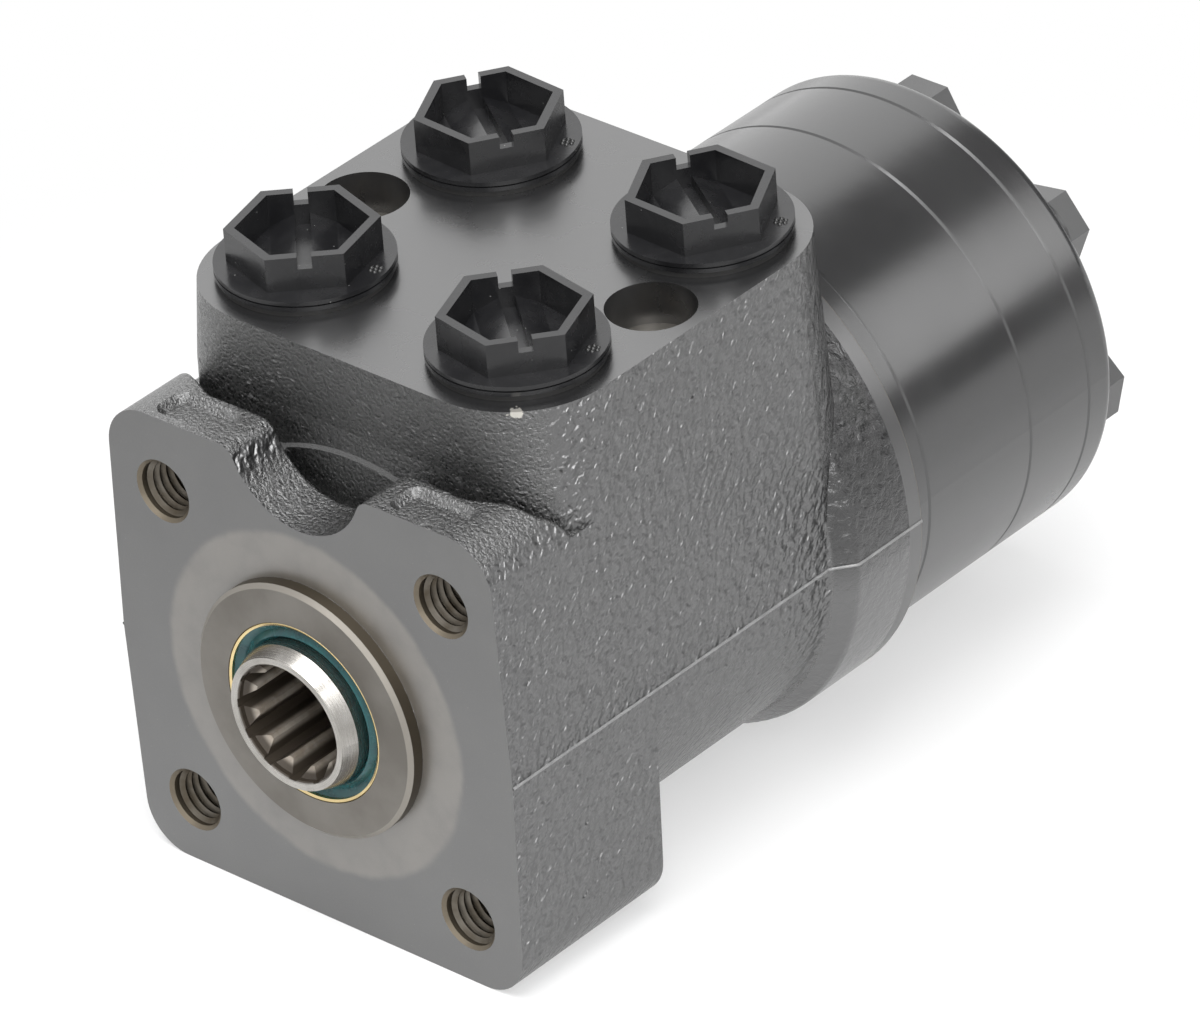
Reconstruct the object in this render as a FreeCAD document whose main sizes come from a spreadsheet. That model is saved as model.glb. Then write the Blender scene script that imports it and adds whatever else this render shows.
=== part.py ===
import FreeCAD, Part

import math
import os

import Sketcher
from FreeCAD import Placement, Rotation, Vector

# Orbital steering unit, in millimetres.
# The origin is the middle of the mounting flange's face, on the spool's axis.
# +X is to the right seen from the flange, +Y runs along the axis into the body,
# and +Z points up to the face that holds the four ports.

SIZES = {
    # Cast housing: flange with its bolt holes and the notch between the upper lugs
    "flange_half_width": 41.2,
    "flange_top": 42.8,
    "flange_bottom": 40.9,
    "flange_corner": 8.3,
    "flange_block_depth": 34.0,
    "body_margin": 1.0,
    "draft_slope": 0.0314,
    "bolt_pitch": 58.34,
    "bolt_tap_radius": 5.0,
    "bolt_hole_depth": 18.0,
    "bolt_chamfer": 0.6,
    "notch_radius": 14.0,
    "notch_depth": 10.5,
    "notch_round": 3.0,
    # Valley between the upper lugs and the port block, and the hollows in the lugs
    "lug_back": 10.3,
    "lug_bend": 27.0,
    "lug_shoulder": 36.0,
    "lug_shoulder_back": 14.3,
    "lug_end": 25.0,
    "valley_depth": 7.0,
    "gully_depth": 13.5,
    "gully_back": 13.2,
    "rim_round": 0.8,
    "lug_pocket_start": 17.5,
    "lug_pocket_end": 31.5,
    "lug_pocket_margin": 1.5,
    "lug_pocket_depth": 1.3,
    "lug_pocket_round": 2.2,
    "lug_pocket_slope": 1.0,
    # Port block above the axis
    "port_face": 57.6,
    "block_half_width": 39.4,
    "block_front": 12.0,
    "block_back": 91.0,
    "block_corner": 17.3,
    "block_waist": 43.0,
    "block_waist_front": 14.0,
    "block_waist_corner": 12.0,
    # Round body and the cast rear flange
    "body_radius": 41.0,
    "body_back": 76.5,
    "rear_step": 3.07,
    "rear_front": 80.5,
    "housing_back": 96.4,
    # Raised ring round the shaft
    "spigot_radius": 22.5,
    "spigot_height": 2.8,
    "spigot_chamfer": 0.7,
    # Bores of the housing
    "seal_radius": 15.9,
    "seal_depth": 3.4,
    "glide_radius": 16.2,
    "glide_front": 5.2,
    "glide_width": 3.2,
    "bearing_floor": 11.6,
    "bore_radius": 19.0,
    "running_fit": 0.03,
    "groove_radius": 21.2,
    "groove_width": 4.5,
    "channel_wall": 1.3,
    "channel_radius": 2.0,
    "channel_front": 46.0,
    # Ports and the passages below them
    "port_x": 22.1,
    "port_front_y": 29.3,
    "port_back_y": 73.7,
    "port_radius": 9.6,
    "port_depth": 15.0,
    "passage_x": 20.0,
    "passage_floor": 10.0,
    "passage_radius": 4.0,
    "tank_y": 25.0,
    "pump_y": 31.9,
    "left_y": 69.4,
    "right_y": 78.0,
    # Two open accessory holes beside the ports
    "side_hole_x": 30.0,
    "side_hole_y": 51.7,
    "side_bore_radius": 7.4,
    "side_bore_depth": 7.5,
    "side_tap_radius": 5.0,
    "side_tap_depth": 24.0,
    # Ring stack behind the housing
    "stack_radius": 41.13,
    "plate_width": 5.8,
    "ring_width": 26.1,
    "end_plate_width": 15.2,
    "cover_width": 6.8,
    "cover_round": 2.2,
    "edge_chamfer": 0.35,
    "plate_bore": 9.8,
    # Screws that clamp the stack
    "screw_count": 7,
    "screw_inset": 8.93,
    "screw_radius": 4.0,
    "screw_clearance": 0.3,
    "thread_fit": 0.05,
    "screw_grip": 12.0,
    "head_flats": 13.0,
    "head_height": 4.7,
    "washer_radius": 7.4,
    "washer_width": 0.8,
    # Face seals between the rings
    "ring_seal_inset": 2.28,
    "ring_seal_width": 2.1,
    "ring_seal_depth": 1.4,
    "ring_seal_slack": 0.02,
    "ring_seal_round": 0.6,
    # Gear set: seven fixed lobes, six lobes on the rotor
    "lobe_inset": 13.63,
    "lobe_radius": 6.5,
    "orbit_radius": 2.4,
    "gear_fit": 0.04,
    "side_fit": 0.03,
    # Spline of the cardan shaft in the rotor
    "drive_teeth": 12,
    "drive_tip": 9.1,
    "drive_root": 7.5,
    "drive_fit": 0.4,
    "drive_length": 15.0,
    "spacer_width": 3.0,
    # Spool
    "tip_y": -6.8,
    "tip_radius": 11.7,
    "tip_taper": 2.8,
    "shaft_radius": 12.66,
    "socket_radius": 10.24,
    "socket_step": 1.2,
    "socket_chamfer": 0.4,
    "socket_depth": 21.0,
    "tooth_count": 12,
    "tooth_tip": 8.7,
    "tooth_root": 10.5,
    "sleeve_bore": 14.5,
    "chamber_radius": 10.2,
    "web_width": 4.0,
    "metering_width": 2.6,
    "metering_depth": 1.1,
    "metering_front": 64.0,
    "metering_back": 90.0,
    "metering_count": 6,
    # Flow holes of the sleeve
    "flow_hole_radius": 1.3,
    "flow_count": 6,
    "meter_y": 48.0,
    "meter_count": 12,
    # Lip seal at the face
    "seal_case_wall": 0.6,
    # Thrust bearing in front of the sleeve
    "race_width": 1.5,
    "needle_radius": 1.25,
    "needle_count": 16,
    "race_gap": 0.3,
    "end_play": 0.05,
    "needle_inset": 0.6,
    # Cross pin, leaf springs and their ring
    "pin_y": 56.0,
    "pin_radius": 3.0,
    "pin_fit": 0.02,
    "pin_short": 0.3,
    "pin_slot_fit": 0.08,
    "deflect_slot": 5.6,
    "spring_front": 21.5,
    "spring_width": 6.0,
    "leaf_thick": 0.6,
    "leaf_rise": 0.75,
    "leaf_gap": 0.01,
    "keeper_width": 8.0,
    "keeper_thick": 1.2,
    # Cardan shaft
    "fork_radius": 9.2,
    "fork_front": 8.5,
    "fork_back": 11.0,
    "cardan_radius": 6.6,
    "cardan_gap": 0.3,
    # Closing plugs of the ports
    "plug_flange_radius": 14.54,
    "plug_seal_width": 1.1,
    "plug_flange_width": 1.7,
    "plug_flange_edge": 0.72,
    "plug_groove_depth": 0.45,
    "plug_hex_radius": 12.4,
    "plug_hex_height": 5.9,
    "plug_wall": 1.5,
    "plug_cup_depth": 5.8,
    "plug_notch_width": 2.3,
    "plug_notch_depth": 2.15,
    "plug_channel_width": 2.5,
    "plug_rib_height": 2.0,
    "plug_root": 0.1,
    "plug_seal_inset": 0.5,
    "plug_shank_length": 11.0,
    "plug_fit": 0.1,
    # Check valve in the pump passage
    "ball_radius": 3.6,
    "ball_lift": 2.5,
    "seat_radius": 2.8,
    "bushing_radius": 5.9,
    "bushing_height": 6.0,
    "ball_stop_radius": 3.2,
}

doc = FreeCAD.newDocument("SteeringUnit")
sheet = doc.addObject("Spreadsheet::Sheet", "Sizes")
for row, (alias, number) in enumerate(SIZES.items(), start=1):
    sheet.set(f"A{row}", alias)
    sheet.set(f"B{row}", str(number))
    sheet.setAlias(f"B{row}", alias)
doc.recompute()


class Size:
    """A length with its present value and the sheet expression that gives it."""

    def __init__(self, text, value):
        self.text = text
        self.value = value

    def _join(self, other, sign, result):
        right = other.text if isinstance(other, Size) else repr(float(other))
        return Size(f"({self.text} {sign} {right})", result)

    def __add__(self, other):
        return self._join(other, "+", self.value + plain(other))

    def __sub__(self, other):
        return self._join(other, "-", self.value - plain(other))

    def __mul__(self, other):
        return self._join(other, "*", self.value * plain(other))

    def __truediv__(self, other):
        return self._join(other, "/", self.value / plain(other))

    def __neg__(self):
        return Size(f"(0 - {self.text})", -self.value)


def plain(length):
    """The number behind a size."""
    return length.value if isinstance(length, Size) else float(length)


def text_of(length):
    """The expression behind a size."""
    return length.text if isinstance(length, Size) else repr(float(length))


class Sheet:
    """Gives each cell of the sheet as a size, by its alias."""

    def __getattr__(self, alias):
        return Size(f"Sizes.{alias}", float(getattr(sheet, alias)))


s = Sheet()
ZERO = Size("0", 0.0)


def root_of(size_squared):
    """Square root of a size, kept as an expression."""
    return Size(f"sqrt({size_squared.text})", math.sqrt(size_squared.value))


def bind(feature, prop, length):
    """Ties one property of a feature to its expression."""
    feature.setExpression(prop, text_of(length))


def new_body(name):
    """A sub-part of its own, named as its file."""
    body = doc.addObject("PartDesign::Body", name)
    body.Label = name
    body.AllowCompound = True
    return body


def origin_part(body, role):
    """One of the body's own origin planes or axes."""
    return [part for part in body.Origin.OriginFeatures if part.Role == role][0]


def sketch_on(body, name, role, offset=ZERO):
    """An empty sketch on an origin plane, moved along the plane's normal."""
    sketch = body.newObject("Sketcher::SketchObject", name)
    sketch.AttachmentSupport = (origin_part(body, role), [""])
    sketch.MapMode = "FlatFace"
    bind(sketch, "AttachmentOffset.Base.z", offset)
    return sketch


def pin_point(sketch, geometry, end, across, up):
    """Fixes a point of the sketch at a place given by two sizes."""
    for kind, length in (("DistanceX", across), ("DistanceY", up)):
        if plain(length) == 0.0 and not isinstance(length, Size) or text_of(length) == "0":
            axis = -2 if kind == "DistanceX" else -1
            sketch.addConstraint(Sketcher.Constraint("PointOnObject", geometry, end, axis))
            continue
        index = sketch.addConstraint(
            Sketcher.Constraint(kind, -1, 1, geometry, end, plain(length)))
        bind(sketch, f"Constraints[{index}]", length)


def round_corner(before, corner, after, radius):
    """Tangent points and centre of an arc that rounds a corner."""
    to_before = (before - corner).normalize()
    to_after = (after - corner).normalize()
    half = to_before.getAngle(to_after) / 2
    reach = radius / math.tan(half)
    middle = (to_before + to_after).normalize()
    centre = corner + middle * (radius / math.sin(half))
    return corner + to_before * reach, corner + to_after * reach, centre


def outline(sketch, corners):
    """A closed outline. Each corner is (across, up) or (across, up, radius)."""
    places = [Vector(plain(c[0]), plain(c[1]), 0) for c in corners]
    count = len(corners)
    starts = list(places)
    ends = list(places)
    arcs = {}
    for i, corner in enumerate(corners):
        if len(corner) == 3:
            first, last, centre = round_corner(
                places[i - 1], places[i], places[(i + 1) % count], plain(corner[2]))
            ends[i], starts[i] = first, last
            arcs[i] = (first, last, centre)
    lines = []
    for i in range(count):
        lines.append(sketch.addGeometry(
            Part.LineSegment(starts[i], ends[(i + 1) % count]), False))
    for i, corner in enumerate(corners):
        line_in, line_out = lines[i - 1], lines[i]
        if i not in arcs:
            sketch.addConstraint(
                Sketcher.Constraint("Coincident", line_in, 2, line_out, 1))
            pin_point(sketch, line_out, 1, corner[0], corner[1])
            continue
        point = sketch.addGeometry(Part.Point(places[i]), True)
        pin_point(sketch, point, 1, corner[0], corner[1])
        sketch.addConstraint(Sketcher.Constraint("PointOnObject", point, 1, line_in))
        sketch.addConstraint(Sketcher.Constraint("PointOnObject", point, 1, line_out))
        first, last, centre = arcs[i]
        towards = (places[i] - centre).normalize()
        middle = centre + towards * plain(corner[2])
        arc = sketch.addGeometry(Part.Arc(first, middle, last), False)
        starts_first = sketch.getPoint(arc, 1).distanceToPoint(first) < 1e-6
        arc_in, arc_out = (1, 2) if starts_first else (2, 1)
        sketch.addConstraint(Sketcher.Constraint("Tangent", line_in, 2, arc, arc_in))
        sketch.addConstraint(Sketcher.Constraint("Tangent", line_out, 1, arc, arc_out))
        index = sketch.addConstraint(
            Sketcher.Constraint("Radius", arc, plain(corner[2])))
        bind(sketch, f"Constraints[{index}]", corner[2])
    return sketch


def circle(sketch, radius, across=ZERO, up=ZERO):
    """A full circle at a place given by two sizes."""
    centre = Vector(plain(across), plain(up), 0)
    index = sketch.addGeometry(Part.Circle(centre, Vector(0, 0, 1), plain(radius)), False)
    pin_point(sketch, index, 3, across, up)
    radius_index = sketch.addConstraint(Sketcher.Constraint("Radius", index, plain(radius)))
    bind(sketch, f"Constraints[{radius_index}]", radius)
    return sketch


def turned(body, name, corners, cut=False):
    """Turns a profile of (radius, y) corners round the Y axis, as solid or as cut."""
    sketch = outline(sketch_on(body, name + "_profile", "XY_Plane"), corners)
    kind = "PartDesign::Groove" if cut else "PartDesign::Revolution"
    feature = body.newObject(kind, name)
    feature.Profile = sketch
    feature.ReferenceAxis = (sketch, ["V_Axis"])
    feature.Angle = 360
    return feature


def extruded(body, name, sketch, length, cut=False, backwards=False, midplane=False):
    """Pads or pockets a sketch by a length."""
    feature = body.newObject("PartDesign::Pocket" if cut else "PartDesign::Pad", name)
    feature.Profile = sketch
    bind(feature, "Length", length)
    feature.Reversed = backwards
    if midplane:
        feature.SideType = "Symmetric"
    return feature


def around_axis(body, name, features, count, role="Y_Axis"):
    """Repeats features evenly round an axis of the body."""
    pattern = body.newObject("PartDesign::PolarPattern", name)
    pattern.Originals = features
    pattern.Axis = (origin_part(body, role), [""])
    pattern.Angle = 360
    bind(pattern, "Occurrences", count)
    body.Tip = pattern
    return pattern


def turned_part(name, corners):
    """A sub-part that is one turned ring or disc."""
    body = new_body(name)
    turned(body, name + "_turned", corners)
    return body


def drilled(body, name, radius, places, start, depth, plane, backwards):
    """Round holes of one size at several places, cut from a plane inwards."""
    sketch = sketch_on(body, name + "_circles", plane, start)
    for across, up in places:
        circle(sketch, radius, across, up)
    return extruded(body, name, sketch, depth, cut=True, backwards=backwards)


def rounded(body, name, base, radius, edges, kind="PartDesign::Fillet"):
    """Rounds or chamfers chosen edges of the last feature."""
    names = []
    for number, edge in enumerate(base.Shape.Edges, start=1):
        if any(edge.isSame(chosen) for chosen in edges):
            names.append(f"Edge{number}")
    feature = body.newObject(kind, name)
    feature.Base = (base, names)
    bind(feature, "Size" if kind.endswith("Chamfer") else "Radius", radius)
    return feature


# Places along the axis, from the flange to the cover
housing_back = s.housing_back
plate_back = housing_back + s.plate_width
ring_back = plate_back + s.ring_width
end_plate_back = ring_back + s.end_plate_width
cover_back = end_plate_back + s.cover_width
sleeve_front = s.bearing_floor + s.race_width * 2 + s.needle_radius * 2 + s.end_play * 3
sleeve_back = housing_back - s.end_play
sleeve_radius = s.bore_radius - s.running_fit
spool_radius = s.sleeve_bore - s.running_fit
shaft_bore = s.shaft_radius + s.running_fit
gear_middle = plate_back + s.ring_width / 2
port_floor = s.port_face - s.port_depth

# Radii of the ring stack, each held by an inset from its outside
rear_radius = s.stack_radius + s.rear_step
screw_circle = s.stack_radius - s.screw_inset
ring_seal_radius = s.stack_radius - s.ring_seal_inset
lobe_circle = s.stack_radius - s.lobe_inset
channel_circle = s.groove_radius + s.channel_wall + s.channel_radius


def cast_side(height):
    """Half width of the drafted casting at a height above or below the axis."""
    return s.flange_half_width - height * s.draft_slope


# Housing: one casting with the flange, the port block and the round body
housing = new_body("housing")
flange_sketch = outline(sketch_on(housing, "flange_outline", "XZ_Plane"), [
    (s.flange_half_width, ZERO),
    (cast_side(s.flange_top), s.flange_top, s.flange_corner),
    (-cast_side(s.flange_top), s.flange_top, s.flange_corner),
    (-s.flange_half_width, ZERO),
    (-cast_side(s.flange_bottom), -s.flange_bottom, s.flange_corner),
    (cast_side(s.flange_bottom), -s.flange_bottom, s.flange_corner),
])
extruded(housing, "flange", flange_sketch, s.flange_block_depth, backwards=True)
notch_centre = s.flange_top - s.notch_depth + s.notch_radius
notch_sketch = circle(sketch_on(housing, "notch_circle", "XZ_Plane"), s.notch_radius,
                      ZERO, notch_centre)
notch = extruded(housing, "notch", notch_sketch, s.flange_block_depth, cut=True)
doc.recompute()
rounded(housing, "notch_rounds", notch, s.notch_round, [
    edge for edge in notch.Shape.Edges
    if abs(edge.BoundBox.ZMin - SIZES["flange_top"]) < 0.01
    and abs(edge.BoundBox.ZMax - SIZES["flange_top"]) < 0.01
    and edge.BoundBox.YLength > 1
    and abs(edge.BoundBox.XMin) < SIZES["notch_radius"]
])

# Behind the lugs the flange falls off, so that a valley is left before the block
past_side = s.flange_half_width + s.body_margin
past_block = s.flange_block_depth + s.body_margin
valley_sketch = outline(sketch_on(housing, "valley_outline", "XY_Plane", s.flange_top), [
    (-s.lug_bend, s.lug_back, s.notch_round),
    (s.lug_bend, s.lug_back, s.notch_round),
    (s.lug_shoulder, s.lug_shoulder_back, s.notch_round),
    (past_side, s.lug_end),
    (past_side, past_block),
    (-past_side, past_block),
    (-past_side, s.lug_end),
    (-s.lug_shoulder, s.lug_shoulder_back, s.notch_round),
])
extruded(housing, "valley", valley_sketch, s.valley_depth, cut=True)



def block_section(name, height, front, corner):
    """The block's rounded outline at a height, wider the lower it lies."""
    draft = (s.port_face - height) * s.draft_slope
    half, back = s.block_half_width + draft, s.block_back + draft
    return outline(sketch_on(housing, name, "XY_Plane", height), [
        (half, front, corner),
        (half, back, s.block_corner),
        (-half, back, s.block_corner),
        (-half, front, corner),
    ])


# The block's front wall leans back from its top edge down to the valley
block = housing.newObject("PartDesign::AdditiveLoft", "port_block")
block.Profile = block_section("block_top", s.port_face, s.block_front, s.block_corner)
block.Sections = [
    block_section("block_waist", s.block_waist, s.block_waist_front, s.block_waist_corner),
    block_section("block_foot", ZERO, s.block_waist_front, s.block_waist_corner),
]
block.Ruled = True

turned(housing, "round_body", [
    (ZERO, s.block_front),
    (s.body_radius - 3, s.block_front),
    (s.body_radius, s.block_front + 6),
    (s.body_radius, s.body_back, 3.0),
    (rear_radius, s.rear_front, 1.5),
    (rear_radius, housing_back),
    (ZERO, housing_back),
])
# The notch ends in a gully, and each lug has a shallow hollow in its top
gully_sketch = outline(sketch_on(housing, "gully_outline", "XY_Plane", s.flange_top), [
    (-s.notch_radius, s.lug_back),
    (s.notch_radius, s.lug_back),
    (s.notch_radius, s.gully_back),
    (-s.notch_radius, s.gully_back),
])
gully = extruded(housing, "gully", gully_sketch, s.gully_depth, cut=True)
doc.recompute()
rounded(housing, "rim_rounds", gully, s.rim_round, [
    edge for edge in gully.Shape.Edges
    if abs(edge.BoundBox.YMin - SIZES["lug_back"]) < 0.01
    and abs(edge.BoundBox.YMax - SIZES["lug_back"]) < 0.01
    and edge.BoundBox.XLength > 0.5
    and edge.BoundBox.ZMax < SIZES["flange_top"] + 0.01
    and edge.BoundBox.ZMin > SIZES["flange_top"] - SIZES["notch_depth"] - 0.01
    and abs(edge.BoundBox.ZMax - SIZES["flange_top"] + SIZES["valley_depth"]) > 0.01
])
for side, label in ((-1, "left"), (1, "right")):
    lug_sketch = outline(sketch_on(housing, label + "_lug_outline", "XY_Plane",
                                   s.flange_top), [
        (s.lug_pocket_start * side, s.lug_pocket_margin, s.lug_pocket_round),
        (s.lug_pocket_end * side, s.lug_pocket_margin, s.lug_pocket_round),
        (s.lug_pocket_end * side, s.lug_back - s.lug_pocket_margin, s.lug_pocket_round),
        (s.lug_pocket_start * side, s.lug_back - s.lug_pocket_margin, s.lug_pocket_round),
    ])
    lug_pocket = extruded(housing, label + "_lug_pocket", lug_sketch, s.lug_pocket_depth,
                          cut=True)
    lug_pocket.setExpression("TaperAngle", "-atan(Sizes.lug_pocket_slope)")

turned(housing, "spigot", [
    (ZERO, -s.spigot_height),
    (s.spigot_radius - s.spigot_chamfer, -s.spigot_height),
    (s.spigot_radius, s.spigot_chamfer - s.spigot_height),
    (s.spigot_radius, s.glide_front),
    (ZERO, s.glide_front),
])
turned(housing, "main_bore", [
    (ZERO, -s.spigot_height),
    (s.seal_radius, -s.spigot_height),
    (s.seal_radius, s.seal_depth),
    (shaft_bore, s.seal_depth),
    (shaft_bore, s.glide_front),
    (s.glide_radius, s.glide_front),
    (s.glide_radius, s.glide_front + s.glide_width),
    (shaft_bore, s.glide_front + s.glide_width),
    (shaft_bore, s.bearing_floor),
    (s.bore_radius, s.bearing_floor),
    (s.bore_radius, housing_back),
    (ZERO, housing_back),
], cut=True)
for label, station in (("tank", s.tank_y), ("pump", s.pump_y),
                       ("left", s.left_y), ("right", s.right_y)):
    turned(housing, label + "_groove", [
        (s.bore_radius - 1, station - s.groove_width / 2),
        (s.groove_radius, station - s.groove_width / 2),
        (s.groove_radius, station + s.groove_width / 2),
        (s.bore_radius - 1, station + s.groove_width / 2),
    ], cut=True)

ports = [(-s.port_x, s.port_front_y), (s.port_x, s.port_front_y),
         (-s.port_x, s.port_back_y), (s.port_x, s.port_back_y)]
drilled(housing, "ports", s.port_radius, ports, s.port_face, s.port_depth, "XY_Plane", False)
passage_length = port_floor - s.passage_floor
drilled(housing, "passages", s.passage_radius, [
    (-s.passage_x, s.tank_y),
    (-s.passage_x, s.left_y),
    (s.passage_x, s.right_y),
], port_floor, passage_length, "XY_Plane", False)

# The pump passage is stepped: bushing seat, ball chamber, then the stop for the ball
ball_rest = root_of(s.ball_radius * s.ball_radius - s.ball_stop_radius * s.ball_stop_radius)
ball_seat = root_of(s.ball_radius * s.ball_radius - s.seat_radius * s.seat_radius)
bushing_floor = port_floor - s.bushing_height
ball_z = bushing_floor - ball_seat - s.ball_lift
ball_stop = ball_z - ball_rest
pump_place = [(s.passage_x, s.pump_y)]
drilled(housing, "bushing_seat", s.bushing_radius + s.thread_fit, pump_place,
        port_floor, s.bushing_height, "XY_Plane", False)
drilled(housing, "ball_chamber", s.passage_radius, pump_place,
        bushing_floor, bushing_floor - ball_stop, "XY_Plane", False)
drilled(housing, "pump_passage", s.ball_stop_radius, pump_place,
        ball_stop, ball_stop - s.passage_floor, "XY_Plane", False)

side_places = [(-s.side_hole_x, s.side_hole_y), (s.side_hole_x, s.side_hole_y)]
drilled(housing, "side_counterbores", s.side_bore_radius, side_places,
        s.port_face, s.side_bore_depth, "XY_Plane", False)
drilled(housing, "side_taps", s.side_tap_radius, side_places,
        s.port_face, s.side_tap_depth, "XY_Plane", False)

half_pitch = s.bolt_pitch / 2
bolt_places = [(half_pitch, half_pitch), (-half_pitch, half_pitch),
               (-half_pitch, -half_pitch), (half_pitch, -half_pitch)]
bolt_holes = drilled(housing, "bolt_holes", s.bolt_tap_radius, bolt_places,
                     ZERO, s.bolt_hole_depth, "XZ_Plane", False)
doc.recompute()
rounded(housing, "bolt_hole_chamfers", bolt_holes, s.bolt_chamfer, [
    edge for edge in bolt_holes.Shape.Edges
    if edge.Closed and abs(edge.BoundBox.YMax) < 0.001
    and abs(edge.BoundBox.XLength - 2 * SIZES["bolt_tap_radius"]) < 0.01
], kind="PartDesign::Chamfer")

stack_hole = drilled(housing, "stack_screw_hole", s.screw_radius + s.thread_fit,
                     [(ZERO, screw_circle)], -housing_back, s.screw_grip,
                     "XZ_Plane", True)
around_axis(housing, "stack_screw_holes", [stack_hole], s.screw_count)
channel_angle = math.radians(180.0 / SIZES["screw_count"])
channel = drilled(housing, "channel", s.channel_radius,
                  [(channel_circle * math.sin(channel_angle),
                    channel_circle * math.cos(channel_angle))],
                  -housing_back, housing_back - s.channel_front, "XZ_Plane", True)
around_axis(housing, "channels", [channel], s.screw_count)



# Ring stack: distribution plate, gear ring, end plate and cover, all one diameter
screw_hole = s.screw_radius + s.screw_clearance


def face_seal_groove(body, name, front):
    """Groove for a face seal, open to the front of a ring."""
    return turned(body, name, [
        (ring_seal_radius - s.ring_seal_width / 2, front),
        (ring_seal_radius + s.ring_seal_width / 2, front),
        (ring_seal_radius + s.ring_seal_width / 2, front + s.ring_seal_depth),
        (ring_seal_radius - s.ring_seal_width / 2, front + s.ring_seal_depth),
    ], cut=True)


def stack_holes(body, front, width):
    """Screw holes through one ring of the stack."""
    hole = drilled(body, body.Label + "_screw_hole", screw_hole,
                   [(ZERO, screw_circle)], -(front + width), width, "XZ_Plane", True)
    return around_axis(body, body.Label + "_screw_holes", [hole], s.screw_count)


def stack_disc(name, front, back, bore):
    """A chamfered disc of the stack with its screw holes."""
    body = new_body(name)
    edge = s.edge_chamfer
    turned(body, name + "_disc", [
        (bore, front),
        (s.stack_radius - edge, front),
        (s.stack_radius, front + edge),
        (s.stack_radius, back - edge),
        (s.stack_radius - edge, back),
        (bore, back),
    ])
    return body


# The housing's own face seal groove opens to the back
turned(housing, "housing_seal_groove", [
    (ring_seal_radius - s.ring_seal_width / 2, housing_back - s.ring_seal_depth),
    (ring_seal_radius + s.ring_seal_width / 2, housing_back - s.ring_seal_depth),
    (ring_seal_radius + s.ring_seal_width / 2, housing_back),
    (ring_seal_radius - s.ring_seal_width / 2, housing_back),
], cut=True)

plate = stack_disc("distribution_plate", housing_back, plate_back, s.plate_bore)
stack_holes(plate, housing_back, s.plate_width)
feed = drilled(plate, "feed_hole", s.channel_radius,
               [(channel_circle * math.sin(channel_angle),
                 channel_circle * math.cos(channel_angle))],
               -plate_back, s.plate_width, "XZ_Plane", True)
around_axis(plate, "feed_holes", [feed], s.screw_count)

# Gear ring: the cavity is a round hole with seven half-round lobes left standing
cavity_radius = lobe_circle - s.lobe_radius + s.orbit_radius * 2 + s.gear_fit
gear_ring = stack_disc("gear_ring", plate_back, ring_back, cavity_radius)
lobe_sketch = circle(sketch_on(gear_ring, "lobe_circle", "XZ_Plane", -ring_back),
                     s.lobe_radius, ZERO, lobe_circle)
lobe = extruded(gear_ring, "lobe", lobe_sketch, s.ring_width)
around_axis(gear_ring, "lobes", [lobe], s.screw_count)
stack_holes(gear_ring, plate_back, s.ring_width)
face_seal_groove(gear_ring, "ring_seal_groove", plate_back)

end_plate = stack_disc("end_plate", ring_back, end_plate_back, ZERO)
stack_holes(end_plate, ring_back, s.end_plate_width)
face_seal_groove(end_plate, "end_plate_seal_groove", ring_back)

cover = new_body("end_cover")
turned(cover, "end_cover_disc", [
    (ZERO, end_plate_back),
    (s.stack_radius - s.edge_chamfer, end_plate_back),
    (s.stack_radius, end_plate_back + s.edge_chamfer),
    (s.stack_radius, cover_back, s.cover_round),
    (ZERO, cover_back),
])
stack_holes(cover, end_plate_back, s.cover_width)
face_seal_groove(cover, "cover_seal_groove", end_plate_back)

# Screws and washers, seven of each
screws = new_body("cover_screws")
screw_sketch = circle(sketch_on(screws, "shank_circle", "XZ_Plane",
                                s.screw_grip - s.thread_fit - housing_back),
                      s.screw_radius, ZERO, screw_circle)
washer_back = cover_back + s.washer_width
shank = extruded(screws, "shank", screw_sketch,
                 washer_back - housing_back + s.screw_grip - s.thread_fit, backwards=True)
head_corner = s.head_flats / 2 / math.cos(math.radians(30))
head_sketch = outline(sketch_on(screws, "head_outline", "XZ_Plane", -washer_back), [
    (head_corner * math.cos(math.radians(60 * k)),
     screw_circle + head_corner * math.sin(math.radians(60 * k))) for k in range(6)
])
head = extruded(screws, "head", head_sketch, s.head_height, backwards=True)
around_axis(screws, "screw_ring", [shank, head], s.screw_count)

washers = new_body("cover_washers")
washer_sketch = sketch_on(washers, "washer_circles", "XZ_Plane", -cover_back)
circle(washer_sketch, s.washer_radius, ZERO, screw_circle)
circle(washer_sketch, s.screw_radius + s.thread_fit, ZERO, screw_circle)
washer = extruded(washers, "washer", washer_sketch, s.washer_width, backwards=True)
around_axis(washers, "washer_ring", [washer], s.screw_count)

# Face seals, squeezed into their grooves
for name, front in (("housing_seal", housing_back - s.ring_seal_depth),
                    ("ring_seal", plate_back),
                    ("end_plate_seal", ring_back),
                    ("cover_seal", end_plate_back)):
    inner = ring_seal_radius - s.ring_seal_width / 2 + s.ring_seal_slack
    outer = ring_seal_radius + s.ring_seal_width / 2 - s.ring_seal_slack
    turned_part(name, [
        (inner, front + s.ring_seal_slack, s.ring_seal_round),
        (outer, front + s.ring_seal_slack, s.ring_seal_round),
        (outer, front + s.ring_seal_depth - s.ring_seal_slack, s.ring_seal_round),
        (inner, front + s.ring_seal_depth - s.ring_seal_slack, s.ring_seal_round),
    ])

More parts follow.
